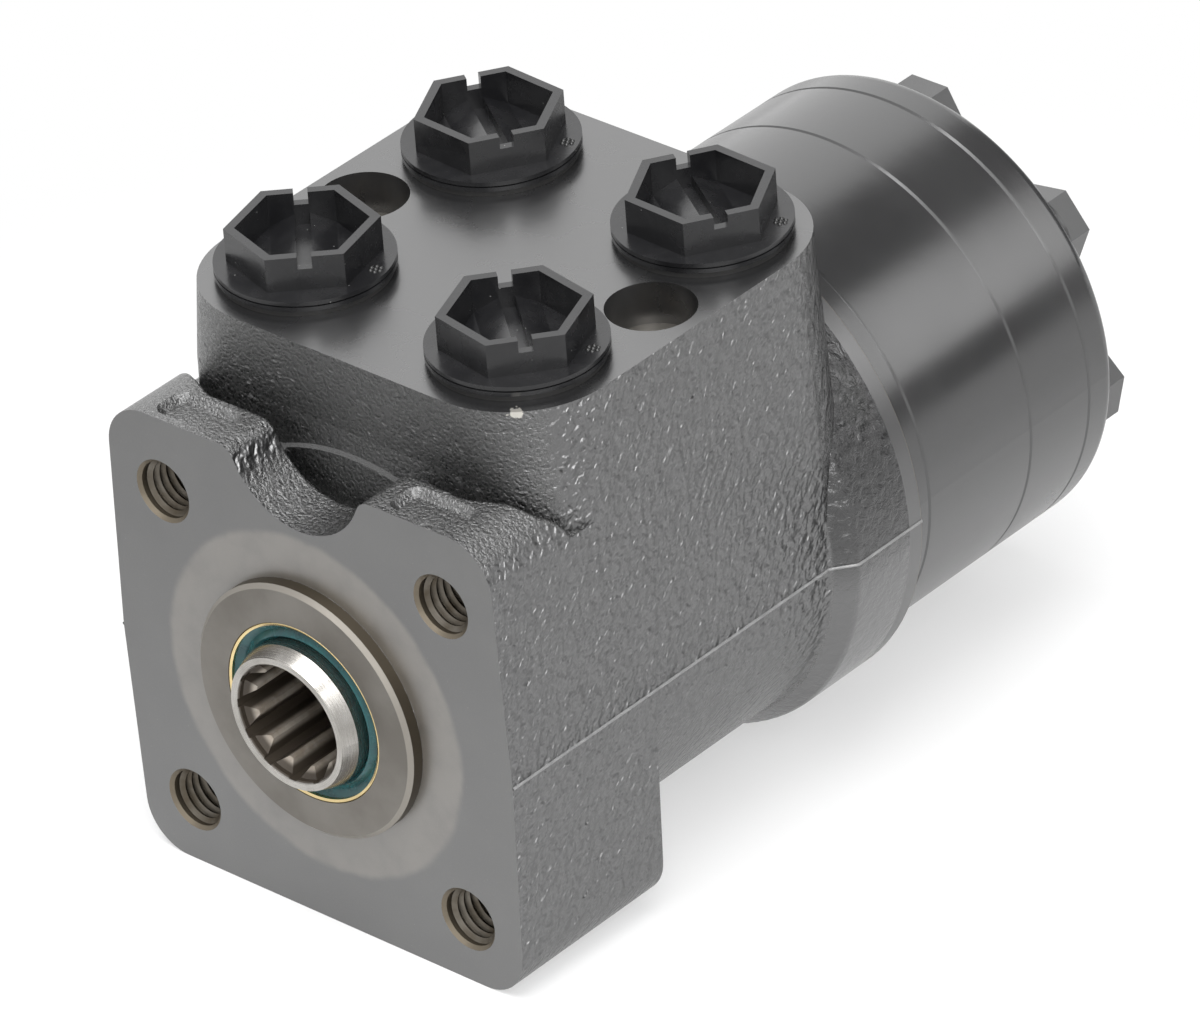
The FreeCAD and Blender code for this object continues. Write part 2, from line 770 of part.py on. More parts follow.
# Rotor: its outline is the curve at one lobe radius inside the path that the
# centre of a fixed lobe takes when seen from the rotor
def lobe_path(turn):
    """Place of a fixed lobe's centre in the rotor's frame, and the way it moves."""
    reach, orbit = lobe_circle.value, s.orbit_radius.value
    lobes = s.screw_count.value
    place = Vector(reach * math.sin(turn) - orbit * math.sin(lobes * turn), 0,
                   reach * math.cos(turn) - orbit * math.cos(lobes * turn))
    way = Vector(reach * math.cos(turn) - lobes * orbit * math.cos(lobes * turn), 0,
                 lobes * orbit * math.sin(lobes * turn) - reach * math.sin(turn))
    return place, way.normalize()


def rotor_curve():
    """The rotor's closed outline about its own centre."""
    inset = s.lobe_radius.value + s.gear_fit.value
    steps = 24 * (int(s.screw_count.value) - 1)
    points = []
    for step in range(steps):
        place, way = lobe_path(2 * math.pi * step / steps)
        inwards = Vector(-way.z, 0, way.x)
        if inwards.dot(place) > 0:
            inwards = -inwards
        points.append(place + inwards * inset)
    curve = Part.BSplineCurve()
    curve.interpolate(Points=points, PeriodicFlag=True)
    return curve


def spline_gaps(count, tip, root, half_width, length, start):
    """The straight-sided gaps of a spline round the Y axis, as solids."""
    slope = math.tan(math.radians(30))
    low, high, middle = tip - 1.0, root, (tip + root) / 2
    half_low = half_width + (middle - low) * slope
    half_high = half_width + (middle - high) * slope
    face = Part.Face(Part.makePolygon([
        Vector(-half_low, start, low), Vector(half_low, start, low),
        Vector(half_high, start, high), Vector(-half_high, start, high),
        Vector(-half_low, start, low)]))
    gap = face.extrude(Vector(0, length, 0))
    gaps = []
    for k in range(count):
        copy = gap.copy()
        copy.rotate(Vector(0, 0, 0), Vector(0, 1, 0), 360.0 * k / count)
        gaps.append(copy)
    return gaps


def y_cylinder(radius, start, length):
    """A cylinder along Y."""
    return Part.makeCylinder(radius, length, Vector(0, start, 0), Vector(0, 1, 0))


PLAIN_PARTS = []


def plain_part(name, shape, place=Placement()):
    """A sub-part whose shape comes from a formula."""
    feature = doc.addObject("Part::Feature", name)
    feature.Label = name
    feature.Shape = shape
    feature.Placement = place
    PLAIN_PARTS.append(name)
    return feature


def make_rotor():
    """Six-lobed rotor with the splined bore that the cardan shaft drives in."""
    width = s.ring_width.value - 2 * s.side_fit.value
    start = plate_back.value + s.side_fit.value
    disc = Part.Face(Part.Wire(rotor_curve().toShape())).extrude(Vector(0, width, 0))
    disc.translate(Vector(0, start, 0))
    tip = s.drive_root.value + s.drive_fit.value
    root = s.drive_tip.value + s.drive_fit.value
    count = int(s.drive_teeth.value)
    half = math.pi * (tip + root) / 2 / count / 2 + s.drive_fit.value / 2
    cutters = [y_cylinder(tip, start - 1, width + 2)]
    cutters += spline_gaps(count, tip, root, half, width + 2, start - 1)
    return disc.cut(cutters)


orbit_place = Placement(Vector(0, 0, s.orbit_radius.value), Rotation())
plain_part("rotor", make_rotor(), orbit_place)

# Spacer disc behind the cardan shaft, loose in the rotor's bore
spacer_front = ring_back - s.spacer_width - s.side_fit
spacer = turned_part("drive_spacer", [
    (ZERO, spacer_front),
    (s.drive_root + s.drive_fit - s.cardan_gap, spacer_front),
    (s.drive_root + s.drive_fit - s.cardan_gap, ring_back - s.side_fit),
    (ZERO, ring_back - s.side_fit),
])
bind(spacer, "Placement.Base.z", s.orbit_radius)

# Spool: splined socket in front, web, spring slot and the open chamber behind
spool = new_body("spool")
shoulder = sleeve_front
turned(spool, "spool_turned", [
    (ZERO, s.tip_y),
    (s.tip_radius, s.tip_y),
    (s.shaft_radius, s.tip_y + s.tip_taper),
    (s.shaft_radius, shoulder),
    (spool_radius, shoulder),
    (spool_radius, sleeve_back),
    (ZERO, sleeve_back),
])
socket_floor = s.tip_y + s.socket_depth
turned(spool, "socket_bore", [
    (ZERO, s.tip_y),
    (s.socket_radius + s.socket_chamfer, s.tip_y),
    (s.socket_radius, s.tip_y + s.socket_chamfer),
    (s.socket_radius, s.tip_y + s.socket_step),
    (s.tooth_tip, s.tip_y + s.socket_step + s.socket_radius - s.tooth_tip),
    (s.tooth_tip, socket_floor),
    (ZERO, socket_floor),
], cut=True)
gap_middle = (s.tooth_tip + s.tooth_root) / 2
gap_half = gap_middle * math.pi / s.tooth_count / 2
gap_run = math.tan(math.radians(30))
gap_low = s.tooth_tip - 1.0
gap_sketch = outline(sketch_on(spool, "tooth_gap_outline", "XZ_Plane", -s.tip_y), [
    (-(gap_half + (gap_middle - gap_low) * gap_run), gap_low),
    (gap_half + (gap_middle - gap_low) * gap_run, gap_low),
    (gap_half - (s.tooth_root - gap_middle) * gap_run, s.tooth_root),
    (-(gap_half - (s.tooth_root - gap_middle) * gap_run), s.tooth_root),
])
tooth_gap = extruded(spool, "tooth_gap", gap_sketch, s.socket_depth, cut=True)
around_axis(spool, "tooth_gaps", [tooth_gap], s.tooth_count)
chamber_front = socket_floor + s.web_width
turned(spool, "chamber", [
    (ZERO, chamber_front),
    (s.chamber_radius, chamber_front),
    (s.chamber_radius, sleeve_back),
    (ZERO, sleeve_back),
], cut=True)

# Leaf springs lie along X through slots in the spool and the sleeve
spring_back = s.spring_front + s.spring_width
slot_fit = s.running_fit
pack_half = s.leaf_thick * 3
leaf_end_half = pack_half + s.leaf_rise * 0.35 + slot_fit
leaf_mid_half = pack_half + s.leaf_rise + slot_fit


def through_slot(body, name, half_height, reach):
    """A slot for the leaf springs, right through along X."""
    sketch = outline(sketch_on(body, name + "_outline", "XZ_Plane", -(s.spring_front - slot_fit)), [
        (reach, half_height), (-reach, half_height),
        (-reach, -half_height), (reach, -half_height),
    ])
    return extruded(body, name, sketch, s.spring_width + slot_fit * 2, cut=True)


through_slot(spool, "spring_slot", leaf_mid_half, s.bore_radius)
pin_hole = circle(sketch_on(spool, "pin_slot_circle", "XY_Plane"), s.deflect_slot,
                  ZERO, s.pin_y)
extruded(spool, "pin_slot", pin_hole, s.bore_radius * 2, cut=True, midplane=True)

# Long metering grooves in the spool's wall, between the pin and the rear end
spool_groove = outline(sketch_on(spool, "metering_outline", "XY_Plane",
                                 spool_radius - s.metering_depth), [
    (s.metering_width / 2, s.metering_front),
    (s.metering_width / 2, s.metering_back),
    (-s.metering_width / 2, s.metering_back),
    (-s.metering_width / 2, s.metering_front),
])
metering = extruded(spool, "metering_groove", spool_groove, s.metering_depth + 1,
                    cut=True, backwards=True)
around_axis(spool, "metering_grooves", [metering], s.metering_count)

# Sleeve round the spool, with the seat of the keeper ring at its front
sleeve = new_body("sleeve")
keeper_front = s.spring_front + s.spring_width / 2 - s.keeper_width / 2
keeper_back = keeper_front + s.keeper_width
keeper_seat = sleeve_radius - s.keeper_thick
turned(sleeve, "sleeve_turned", [
    (s.sleeve_bore, sleeve_front),
    (keeper_seat, sleeve_front),
    (keeper_seat, keeper_back + slot_fit),
    (sleeve_radius, keeper_back + slot_fit),
    (sleeve_radius, sleeve_back),
    (s.sleeve_bore, sleeve_back),
])
through_slot(sleeve, "spring_slot_sleeve", leaf_end_half, s.bore_radius)
pin_seat = circle(sketch_on(sleeve, "pin_seat_circle", "XY_Plane"),
                  s.pin_radius + s.pin_fit, ZERO, s.pin_y)
extruded(sleeve, "pin_seat", pin_seat, s.bore_radius * 2, cut=True, midplane=True)
for label, station, count in (("pump", s.pump_y, s.flow_count),
                              ("meter", s.meter_y, s.meter_count),
                              ("left", s.left_y, s.flow_count),
                              ("right", s.right_y, s.flow_count)):
    flow_sketch = circle(sketch_on(sleeve, label + "_hole_circle", "XY_Plane"),
                         s.flow_hole_radius, ZERO, station)
    flow_hole = extruded(sleeve, label + "_hole", flow_sketch, s.bore_radius,
                         cut=True, backwards=True)
    around_axis(sleeve, label + "_holes", [flow_hole], count)

turned_part("spring_keeper", [
    (keeper_seat + slot_fit, keeper_front),
    (sleeve_radius, keeper_front),
    (sleeve_radius, keeper_back),
    (keeper_seat + slot_fit, keeper_back),
])

pin = new_body("cross_pin")
pin_sketch = circle(sketch_on(pin, "pin_circle", "XY_Plane"), s.pin_radius, ZERO, s.pin_y)
extruded(pin, "pin", pin_sketch, (sleeve_radius - s.pin_short) * 2, midplane=True)


def leaf(level_end, level_middle, reach):
    """One leaf spring as a bent strip, in the XZ plane, along X."""
    thick = s.leaf_thick.value
    front, width = s.spring_front.value, s.spring_width.value
    low = Part.Arc(Vector(-reach, front, level_end), Vector(0, front, level_middle),
                   Vector(reach, front, level_end)).toShape()
    lift = Vector(0, 0, thick if level_middle > 0 else -thick)
    high = low.copy()
    high.translate(lift)
    left = Part.LineSegment(Vector(-reach, front, level_end),
                            Vector(-reach, front, level_end) + lift).toShape()
    right = Part.LineSegment(Vector(reach, front, level_end),
                             Vector(reach, front, level_end) + lift).toShape()
    wire = Part.Wire(Part.__sortEdges__([low, right, high, left]))
    return Part.Face(wire).extrude(Vector(0, width, 0))


leaf_reach = keeper_seat.value - 0.2
bent_leaves = []
for side in (1, -1):
    for layer in (1, 2):
        base = s.leaf_thick.value * layer
        bent_leaves.append(leaf(side * base, side * (base + s.leaf_rise.value), leaf_reach))
plain_part("bent_springs", Part.makeCompound(bent_leaves))
flat_springs = new_body("flat_springs")
for side in (1, -1):
    strip = outline(sketch_on(flat_springs, f"flat_outline_{side + 1}", "XZ_Plane",
                              -s.spring_front), [
        (keeper_seat - 0.2, s.leaf_gap * side),
        (keeper_seat - 0.2, s.leaf_thick * side),
        (-(keeper_seat - 0.2), s.leaf_thick * side),
        (-(keeper_seat - 0.2), s.leaf_gap * side),
    ])
    extruded(flat_springs, f"flat_leaf_{side + 1}", strip, s.spring_width, backwards=True)

# Thrust bearing between the housing and the front of the sleeve
race_inner = s.shaft_radius + s.race_gap
race_outer = s.bore_radius - s.race_gap
race_back = s.bearing_floor + s.race_width
turned_part("front_race", [
    (race_inner, s.bearing_floor),
    (race_outer, s.bearing_floor),
    (race_outer, race_back),
    (race_inner, race_back),
])
needle_y = race_back + s.end_play + s.needle_radius
needle_back = needle_y + s.needle_radius + s.end_play
turned_part("rear_race", [
    (race_inner, needle_back),
    (race_outer, needle_back),
    (race_outer, needle_back + s.race_width),
    (race_inner, needle_back + s.race_width),
])
needles = new_body("needles")
needle_start = race_inner + s.needle_inset
needle_sketch = circle(sketch_on(needles, "needle_circle", "YZ_Plane", needle_start),
                       s.needle_radius, needle_y, ZERO)
needle_length = race_outer - race_inner - s.needle_inset * 2
needle = extruded(needles, "needle", needle_sketch, needle_length)
around_axis(needles, "needle_ring", [needle], s.needle_count)
cage = new_body("needle_cage")
cage_half = s.needle_radius * 0.6
turned(cage, "cage_ring", [
    (race_inner, needle_y - cage_half),
    (race_outer, needle_y - cage_half),
    (race_outer, needle_y + cage_half),
    (race_inner, needle_y + cage_half),
])
pocket_sketch = outline(sketch_on(cage, "needle_pocket_outline", "XZ_Plane",
                                  -(needle_y - s.needle_radius)), [
    (needle_start - slot_fit, -(s.needle_radius + slot_fit)),
    (needle_start + needle_length + slot_fit, -(s.needle_radius + slot_fit)),
    (needle_start + needle_length + slot_fit, s.needle_radius + slot_fit),
    (needle_start - slot_fit, s.needle_radius + slot_fit),
])
needle_pocket = extruded(cage, "needle_pocket", pocket_sketch, s.needle_radius * 2, cut=True)
around_axis(cage, "needle_pockets", [needle_pocket], s.needle_count)

# Shaft seals: glide ring in its groove, then the cased lip seal at the face
turned_part("glide_ring", [
    (s.shaft_radius + s.running_fit, s.glide_front + slot_fit),
    (s.glide_radius - slot_fit, s.glide_front + slot_fit),
    (s.glide_radius - slot_fit, s.glide_front + s.glide_width - slot_fit),
    (s.shaft_radius + s.running_fit, s.glide_front + s.glide_width - slot_fit),
])
case_outer = s.seal_radius
case_inner = s.seal_radius - s.seal_case_wall
case_floor = s.seal_depth - s.seal_case_wall
turned_part("seal_case", [
    (case_inner, s.seal_case_wall / 3 - s.spigot_height),
    (case_outer - s.seal_case_wall / 3, -s.spigot_height),
    (case_outer, s.seal_case_wall / 3 - s.spigot_height),
    (case_outer, s.seal_depth),
    (s.shaft_radius + 1.2, s.seal_depth),
    (s.shaft_radius + 1.2, case_floor),
    (case_inner, case_floor),
])
lip_tip = s.shaft_radius + s.running_fit
turned_part("seal_lip", [
    (case_inner, -s.spigot_height + 0.8),
    (case_inner, case_floor),
    (lip_tip + 0.5, case_floor),
    (lip_tip, case_floor - 0.9),
    (lip_tip + 0.9, case_floor - 2.2),
    (lip_tip + 0.3, -s.spigot_height + 1.9),
    (lip_tip, -s.spigot_height + 1.2),
    (lip_tip + 0.5, -s.spigot_height + 0.7),
    (lip_tip + 1.5, -s.spigot_height + 1.5),
])

# Cardan shaft: fork over the cross pin in front, crowned spline in the rotor.
# It is built along the main axis and then leans by the orbit radius.
cardan_back = spacer_front - s.cardan_gap
lean = math.degrees(math.atan2(s.orbit_radius.value, gear_middle.value - s.pin_y.value))


def make_cardan():
    """The cardan shaft before it leans."""
    pin_y, gap = s.pin_y.value, s.cardan_gap.value
    fork, neck = s.fork_radius.value, s.cardan_radius.value
    front, back = pin_y - s.fork_front.value, pin_y + s.fork_back.value
    middle, half = gear_middle.value, s.drive_length.value / 2
    tip, root = s.drive_tip.value, s.drive_root.value
    end = cardan_back.value
    crown = 0.35
    profile = [Vector(0, front, 0), Vector(fork - 1.2, front, 0),
               Vector(fork, front + 1.5, 0), Vector(fork, back, 0),
               Vector(neck, back + 4.5, 0), Vector(neck, middle - half - 3, 0),
               Vector(tip - crown, middle - half, 0)]
    edges = [Part.makePolygon(profile).Edges]
    crest = Part.Arc(profile[-1], Vector(tip, middle, 0),
                     Vector(tip - crown, middle + half, 0)).toShape()
    tail = [Vector(tip - crown, middle + half, 0), Vector(neck, middle + half + 1, 0),
            Vector(neck, end - 1, 0), Vector(neck - 1, end, 0), Vector(0, end, 0),
            profile[0]]
    wire = Part.Wire(edges[0] + [crest] + Part.makePolygon(tail).Edges)
    shaft = Part.Face(wire).revolve(Vector(0, 0, 0), Vector(0, 1, 0), 360)
    slot_half = s.pin_radius.value + s.pin_slot_fit.value
    slot_back = pin_y + fork * math.tan(math.radians(lean)) + s.pin_slot_fit.value
    slot = Part.makeBox(slot_half * 2, slot_back - front + 1, fork * 2 + 2,
                        Vector(-slot_half, front - 1, -fork - 1))
    slot_end = Part.makeCylinder(slot_half, fork * 2 + 2,
                                 Vector(0, slot_back, -fork - 1), Vector(0, 0, 1))
    count = int(s.drive_teeth.value)
    pitch = 2 * math.pi * (tip + root) / 2 / count
    tooth = pitch / 2 - s.drive_fit.value
    cutters = [slot, slot_end]
    outer_gap_low = (pitch - tooth) / 2 - 0.45
    outer_gap_high = (pitch - tooth) / 2 + 0.45
    start, length = middle - half - 3, 2 * half + 4
    face = Part.Face(Part.makePolygon([
        Vector(-outer_gap_low, start, root), Vector(outer_gap_low, start, root),
        Vector(outer_gap_high + 0.3, start, tip + 1),
        Vector(-outer_gap_high - 0.3, start, tip + 1),
        Vector(-outer_gap_low, start, root)]))
    gap_solid = face.extrude(Vector(0, length, 0))
    for k in range(count):
        copy = gap_solid.copy()
        copy.rotate(Vector(0, 0, 0), Vector(0, 1, 0), 360.0 * (k + 0.5) / count)
        cutters.append(copy)
    return shaft.cut(cutters)


pivot = Vector(0, s.pin_y.value, 0)
cardan_place = Placement(Vector(0, 0, 0), Rotation(Vector(1, 0, 0), lean), pivot)
plain_part("cardan_shaft", make_cardan(), cardan_place)

# Check valve: threaded bushing with its seat, and the ball below it
bushing = new_body("check_bushing")
bushing_sketch = sketch_on(bushing, "bushing_circles", "XY_Plane", bushing_floor)
circle(bushing_sketch, s.bushing_radius, s.passage_x, s.pump_y)
circle(bushing_sketch, s.seat_radius, s.passage_x, s.pump_y)
extruded(bushing, "bushing", bushing_sketch, s.bushing_height)
ball = doc.addObject("Part::Sphere", "check_ball")
ball.Label = "check_ball"
bind(ball, "Radius", s.ball_radius)
bind(ball, "Placement.Base.x", s.passage_x)
bind(ball, "Placement.Base.y", s.pump_y)
bind(ball, "Placement.Base.z", ball_z)
PLAIN_PARTS.append("check_ball")

# Port plugs: a flange on its seal, a hexagonal cup above and a shank below
seal_top = s.port_face + s.plug_seal_width
flange_top = seal_top + s.plug_flange_width
PLUGS = {
    "plug_front_left": (-s.port_x, s.port_front_y, 43.8),
    "plug_front_right": (s.port_x, s.port_front_y, 50.1),
    "plug_back_left": (-s.port_x, s.port_back_y, 56.4),
    "plug_back_right": (s.port_x, s.port_back_y, 57.5),
}


def hexagon(sketch, corner_radius):
    """A hexagon with a corner on the sketch's horizontal axis."""
    return outline(sketch, [
        (corner_radius * math.cos(math.radians(60 * k)),
         corner_radius * math.sin(math.radians(60 * k))) for k in range(6)
    ])


def stand_at(body, across, along, angle):
    """Puts a body built on the Z axis at its port, turned about its own axis."""
    body.Placement = Placement(Vector(plain(across), plain(along), 0),
                               Rotation(Vector(0, 0, 1), angle))
    bind(body, "Placement.Base.x", across)
    bind(body, "Placement.Base.y", along)


def make_plug(name, across, along, angle):
    """One plastic closing plug and the seal ring under its flange."""
    body = new_body(name)
    neck_circle = circle(sketch_on(body, name + "_neck_circle", "XY_Plane", seal_top),
                         s.plug_flange_radius - s.plug_groove_depth)
    extruded(body, name + "_neck", neck_circle, s.plug_flange_width)
    for label, start in (("lower", seal_top), ("upper", flange_top - s.plug_flange_edge)):
        disc_circle = circle(sketch_on(body, f"{name}_{label}_circle", "XY_Plane", start),
                             s.plug_flange_radius)
        extruded(body, f"{name}_{label}_disc", disc_circle, s.plug_flange_edge)
    cup = hexagon(sketch_on(body, name + "_hex_outline", "XY_Plane", flange_top),
                  s.plug_hex_radius)
    extruded(body, name + "_hex", cup, s.plug_hex_height)
    shank_circle = circle(sketch_on(body, name + "_shank_circle", "XY_Plane", seal_top),
                          s.port_radius - s.plug_fit)
    extruded(body, name + "_shank", shank_circle,
             s.plug_shank_length + s.plug_seal_width, backwards=True)
    inside = hexagon(sketch_on(body, name + "_cup_outline", "XY_Plane",
                               flange_top + s.plug_hex_height),
                     s.plug_hex_radius - s.plug_wall / math.cos(math.radians(30)))
    extruded(body, name + "_cup", inside, s.plug_cup_depth, cut=True)
    cup_floor = flange_top + s.plug_hex_height - s.plug_cup_depth
    flat = (s.plug_hex_radius * math.cos(math.radians(30)) - s.plug_wall)
    crease = flat / math.sqrt(3)
    for side in (1, -1):
        rib = outline(sketch_on(body, f"{name}_rib_outline_{side + 1}", "XZ_Plane"), [
            (s.plug_channel_width / 2 * side, cup_floor - s.plug_root),
            (s.plug_channel_width / 2 * side, cup_floor + s.plug_rib_height),
            (crease * side, cup_floor),
            (crease * side, cup_floor - s.plug_root),
        ])
        extruded(body, f"{name}_rib_{side + 1}", rib, (flat + s.plug_root) * 2,
                 midplane=True)
    notch = outline(sketch_on(body, name + "_notch_outline", "XY_Plane",
                              flange_top + s.plug_hex_height), [
        (s.plug_notch_width / 2, s.plug_flange_radius),
        (-s.plug_notch_width / 2, s.plug_flange_radius),
        (-s.plug_notch_width / 2, -s.plug_flange_radius),
        (s.plug_notch_width / 2, -s.plug_flange_radius),
    ])
    extruded(body, name + "_notch", notch, s.plug_notch_depth, cut=True)
    stand_at(body, across, along, angle)

    ring = new_body(name + "_seal")
    ring_sketch = sketch_on(ring, name + "_seal_circles", "XY_Plane", s.port_face)
    circle(ring_sketch, s.plug_flange_radius - s.plug_seal_inset)
    circle(ring_sketch, s.port_radius)
    extruded(ring, name + "_seal_ring", ring_sketch, s.plug_seal_width)
    stand_at(ring, across, along, angle)


for plug_name, (across, along, angle) in PLUGS.items():
    make_plug(plug_name, across, along, angle)


def finish():
    """Recomputes, checks every object and writes one file for each sub-part."""
    doc.recompute()
    problems = []
    for item in doc.Objects:
        if "Invalid" in item.State or "Error" in item.State:
            problems.append(f"{item.Name}: {item.State}")
    parts = [item for item in doc.Objects
             if item.isDerivedFrom("PartDesign::Body") or item.Name in PLAIN_PARTS]
    for item in parts:
        shape = item.Shape
        if shape.isNull() or not shape.isValid():
            problems.append(f"{item.Label}: shape is null or not valid")
    if problems:
        raise RuntimeError("; ".join(problems))
    os.makedirs("parts", exist_ok=True)
    for item in parts:
        item.Shape.exportStep(os.path.join("parts", item.Label + ".step"))
        print(item.Label, len(item.Shape.Solids), round(item.Shape.Volume, 1))


finish()
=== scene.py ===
"""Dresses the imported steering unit.

Adds its paints and metals, the screw threads, the casting's flash, the plugs' pips and
the studio.
"""

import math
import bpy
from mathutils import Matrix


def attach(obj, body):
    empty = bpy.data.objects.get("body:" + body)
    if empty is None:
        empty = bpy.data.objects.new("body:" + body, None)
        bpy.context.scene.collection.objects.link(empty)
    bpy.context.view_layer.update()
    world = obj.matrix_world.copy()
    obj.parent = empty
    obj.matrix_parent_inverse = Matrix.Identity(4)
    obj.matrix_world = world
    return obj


bl_info = {
    "name": "Orbital steering unit",
    "version": (1, 0, 0),
    "blender": (4, 5, 0),
    "location": "View3D > Sidebar > Steering unit",
    "description": "Paints, threads, casting flash and studio for the packed steering unit",
    "category": "Object",
}

import bpy
from bpy.props import FloatProperty, FloatVectorProperty, IntProperty, PointerProperty
from mathutils import Matrix, Vector

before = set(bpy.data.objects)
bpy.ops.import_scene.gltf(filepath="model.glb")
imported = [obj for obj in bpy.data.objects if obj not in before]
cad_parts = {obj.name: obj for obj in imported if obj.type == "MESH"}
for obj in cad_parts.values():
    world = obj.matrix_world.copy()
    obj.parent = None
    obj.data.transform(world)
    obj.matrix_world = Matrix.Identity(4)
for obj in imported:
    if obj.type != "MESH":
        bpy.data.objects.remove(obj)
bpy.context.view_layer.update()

MM = 0.001

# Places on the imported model. The flange face is at y = 0, the body lies towards +Y and the
# ports open towards +Z.
BOLT_HALF = 29.17 * MM
PORT_X = 22.1 * MM
PORT_HALF_Y = 22.2 * MM
BLOCK_MIDDLE = 51.5 * MM
SIDE_HOLE_X = 30 * MM
SIDE_HOLE_Y = 51.7 * MM
SIDE_THREAD_Z = 49.4 * MM
PLUG_TOP = 60.4 * MM
# the paint chip's place, once x and y are squeezed to make the chip wider than high
CHIP_SQUEEZE = (0.6, 0.6, 1)
CHIP = (19.9 * MM, 9.7 * MM, 57.3 * MM)

# Soft edges of the casting's surfaces, each from where its mask is 0 to where it is 1. The
# radii are about the long axis or about the middle of a hole.
FRONT_Y = (0.25 * MM, 0.05 * MM)
SPIGOT_Y = (-0.02 * MM, -0.1 * MM)
SPIGOT_WALL_Y = (-2.2 * MM, -2.0 * MM)
SPIGOT_WALL_RADIUS = (22.3 * MM, 22.42 * MM)
RIM_Y = (-1.98 * MM, -2.12 * MM)
RIM_RADIUS = (21.7 * MM, 21.85 * MM)
BARE_RADIUS = (31.4 * MM, 29.8 * MM)
BOLT_RADIUS = (5.85 * MM, 5.7 * MM)
BORE_RADIUS = (22.0 * MM, 21.6 * MM)
PORT_RADIUS = (9.9 * MM, 9.75 * MM)
PORT_Z = (57.55 * MM, 57.45 * MM)
SIDE_HOLE_RADIUS = (5.4 * MM, 5.2 * MM)
SIDE_HOLE_Z = (50.3 * MM, 50.2 * MM)
COUNTERBORE_RADIUS = (7.7 * MM, 7.55 * MM)
COUNTERBORE_FLOOR_Z = (50.35 * MM, 50.2 * MM)
UPPER_HALF_Z = (20 * MM, 21 * MM)
PORT_FACE_Z = (57.3 * MM, 57.5 * MM)
REAR_FLANGE_Y = (76.9 * MM, 77.6 * MM)
TURNED_BAND_Y = (93.2 * MM, 93.5 * MM)
REAR_FACE_Y = (96.2 * MM, 96.38 * MM)
CHIP_SIZE = (1.55 * MM, 1.4 * MM)
# how far the surface has to turn to count as facing that way, as a part of its normal
FACES_FORWARD = (-0.8, -0.95)
FACES_UP = (0.8, 0.95)
FACES_SIDEWAYS = (0.72, 0.93)

# The plugs' middles, and each way in degrees from there to the plug's moulded pips
PLUGS = {
    "plug_front_left": (-PORT_X, BLOCK_MIDDLE - PORT_HALF_Y, 13.8),
    "plug_front_right": (PORT_X, BLOCK_MIDDLE - PORT_HALF_Y, 20.1),
    "plug_back_left": (-PORT_X, BLOCK_MIDDLE + PORT_HALF_Y, 26.4),
    "plug_back_right": (PORT_X, BLOCK_MIDDLE + PORT_HALF_Y, 27.5),
}
PIP_REACH = 12.6 * MM
PIP_SINK = 0.12 * MM

# One thread tooth, in parts of the pitch
FLANK, CREST, ROOT = 0.40, 0.14, 0.06

PAINT_IOR = 2.0
CAST_PAINT_IOR = 2.3

# Second tones that the finishes run into
WORN_PAINT = (0.0155, 0.0155, 0.0160, 1)
STACK_WORN_PAINT = (0.0145, 0.0145, 0.0150, 1)
# near-black painted shade, for the upper front of the casting and the ledge behind the notch
SHADE_BLACK = (0.004, 0.004, 0.004, 1)
WORN_GREY = (0.034, 0.034, 0.0325, 1)
GREY_GRAIN = (0.22, 0.215, 0.205, 1)
DARK_STAIN = (0.080, 0.072, 0.062, 1)
STAIN_GRAIN = (0.20, 0.19, 0.17, 1)
CUT_IRON = (0.190, 0.178, 0.160, 1)
DULL_IRON = (0.135, 0.124, 0.108, 1)
HOLE_MOUTH = (0.15, 0.125, 0.09, 1)
# the flange holes' walls darken towards the inside: painted shade
HOLE_DEPTH_SHADE = (0.045, 0.039, 0.030, 1)
SPIGOT_RUST = (0.075, 0.060, 0.040, 1)
# a brighter ring on the spigot's edge: cut metal with a painted edge highlight
RIM_METAL_AND_HIGHLIGHT = (0.27, 0.25, 0.22, 1)
CHIP_METAL = (0.60, 0.58, 0.53, 1)
DARK_STEEL = (0.36, 0.345, 0.32, 1)
SPLINE_LAND = (0.42, 0.38, 0.33, 1)
SPLINE_SMEAR = (0.26, 0.22, 0.175, 1)
# dark gaps between the spline's teeth: painted shade
SPLINE_GAP_SHADE = (0.050, 0.040, 0.030, 1)
DARK_PLATING = (0.66, 0.52, 0.27, 1)
DARK_SEAL = (0.008, 0.060, 0.068, 1)
BRIGHT_PLASTIC = (0.015, 0.015, 0.016, 1)
DUST = (0.35, 0.35, 0.34, 1)

# The photograph's width and its camera's focal length in pixels, and the camera's place
PHOTO_WIDTH = 1200
PHOTO_FOCAL = 10152
SENSOR_WIDTH = 36
CAMERA_PLACE = (0.94572, -0.94338, 0.86869)
CAMERA_AHEAD = (-0.57835, 0.61885, -0.53154)
CAMERA_UP = (-0.30539, 0.43995, 0.84450)

# Each lamp's place, the point it faces, its two sides in metres and its power in watts
LAMPS = {
    "back_left_softbox": ((-1.15, 1.02, 0.68), (0, 0.08, 0.02), (2.1, 1.8), 15.5),
    "back_right_softbox": ((0.93, 1.00, 0.72), (0, 0.08, 0.02), (0.52, 0.9), 3.0),
    "top_softbox": ((0.15, -0.30, 1.45), (0, 0.08, 0), (1.2, 1.2), 28),
    "front_right_softbox": ((1.10, -0.60, 0.95), (0.1, 0.0, 0), (1.0, 1.0), 15),
}

# What the unit stands on: the lower edge of the flange, and the rear flange at its y
FLANGE_FOOT = -40.9 * MM
REAR_FOOT = -44.2 * MM
REAR_FOOT_Y = 80.5 * MM
FLOOR_MIDDLE = (0.02, 0.07, -0.043)


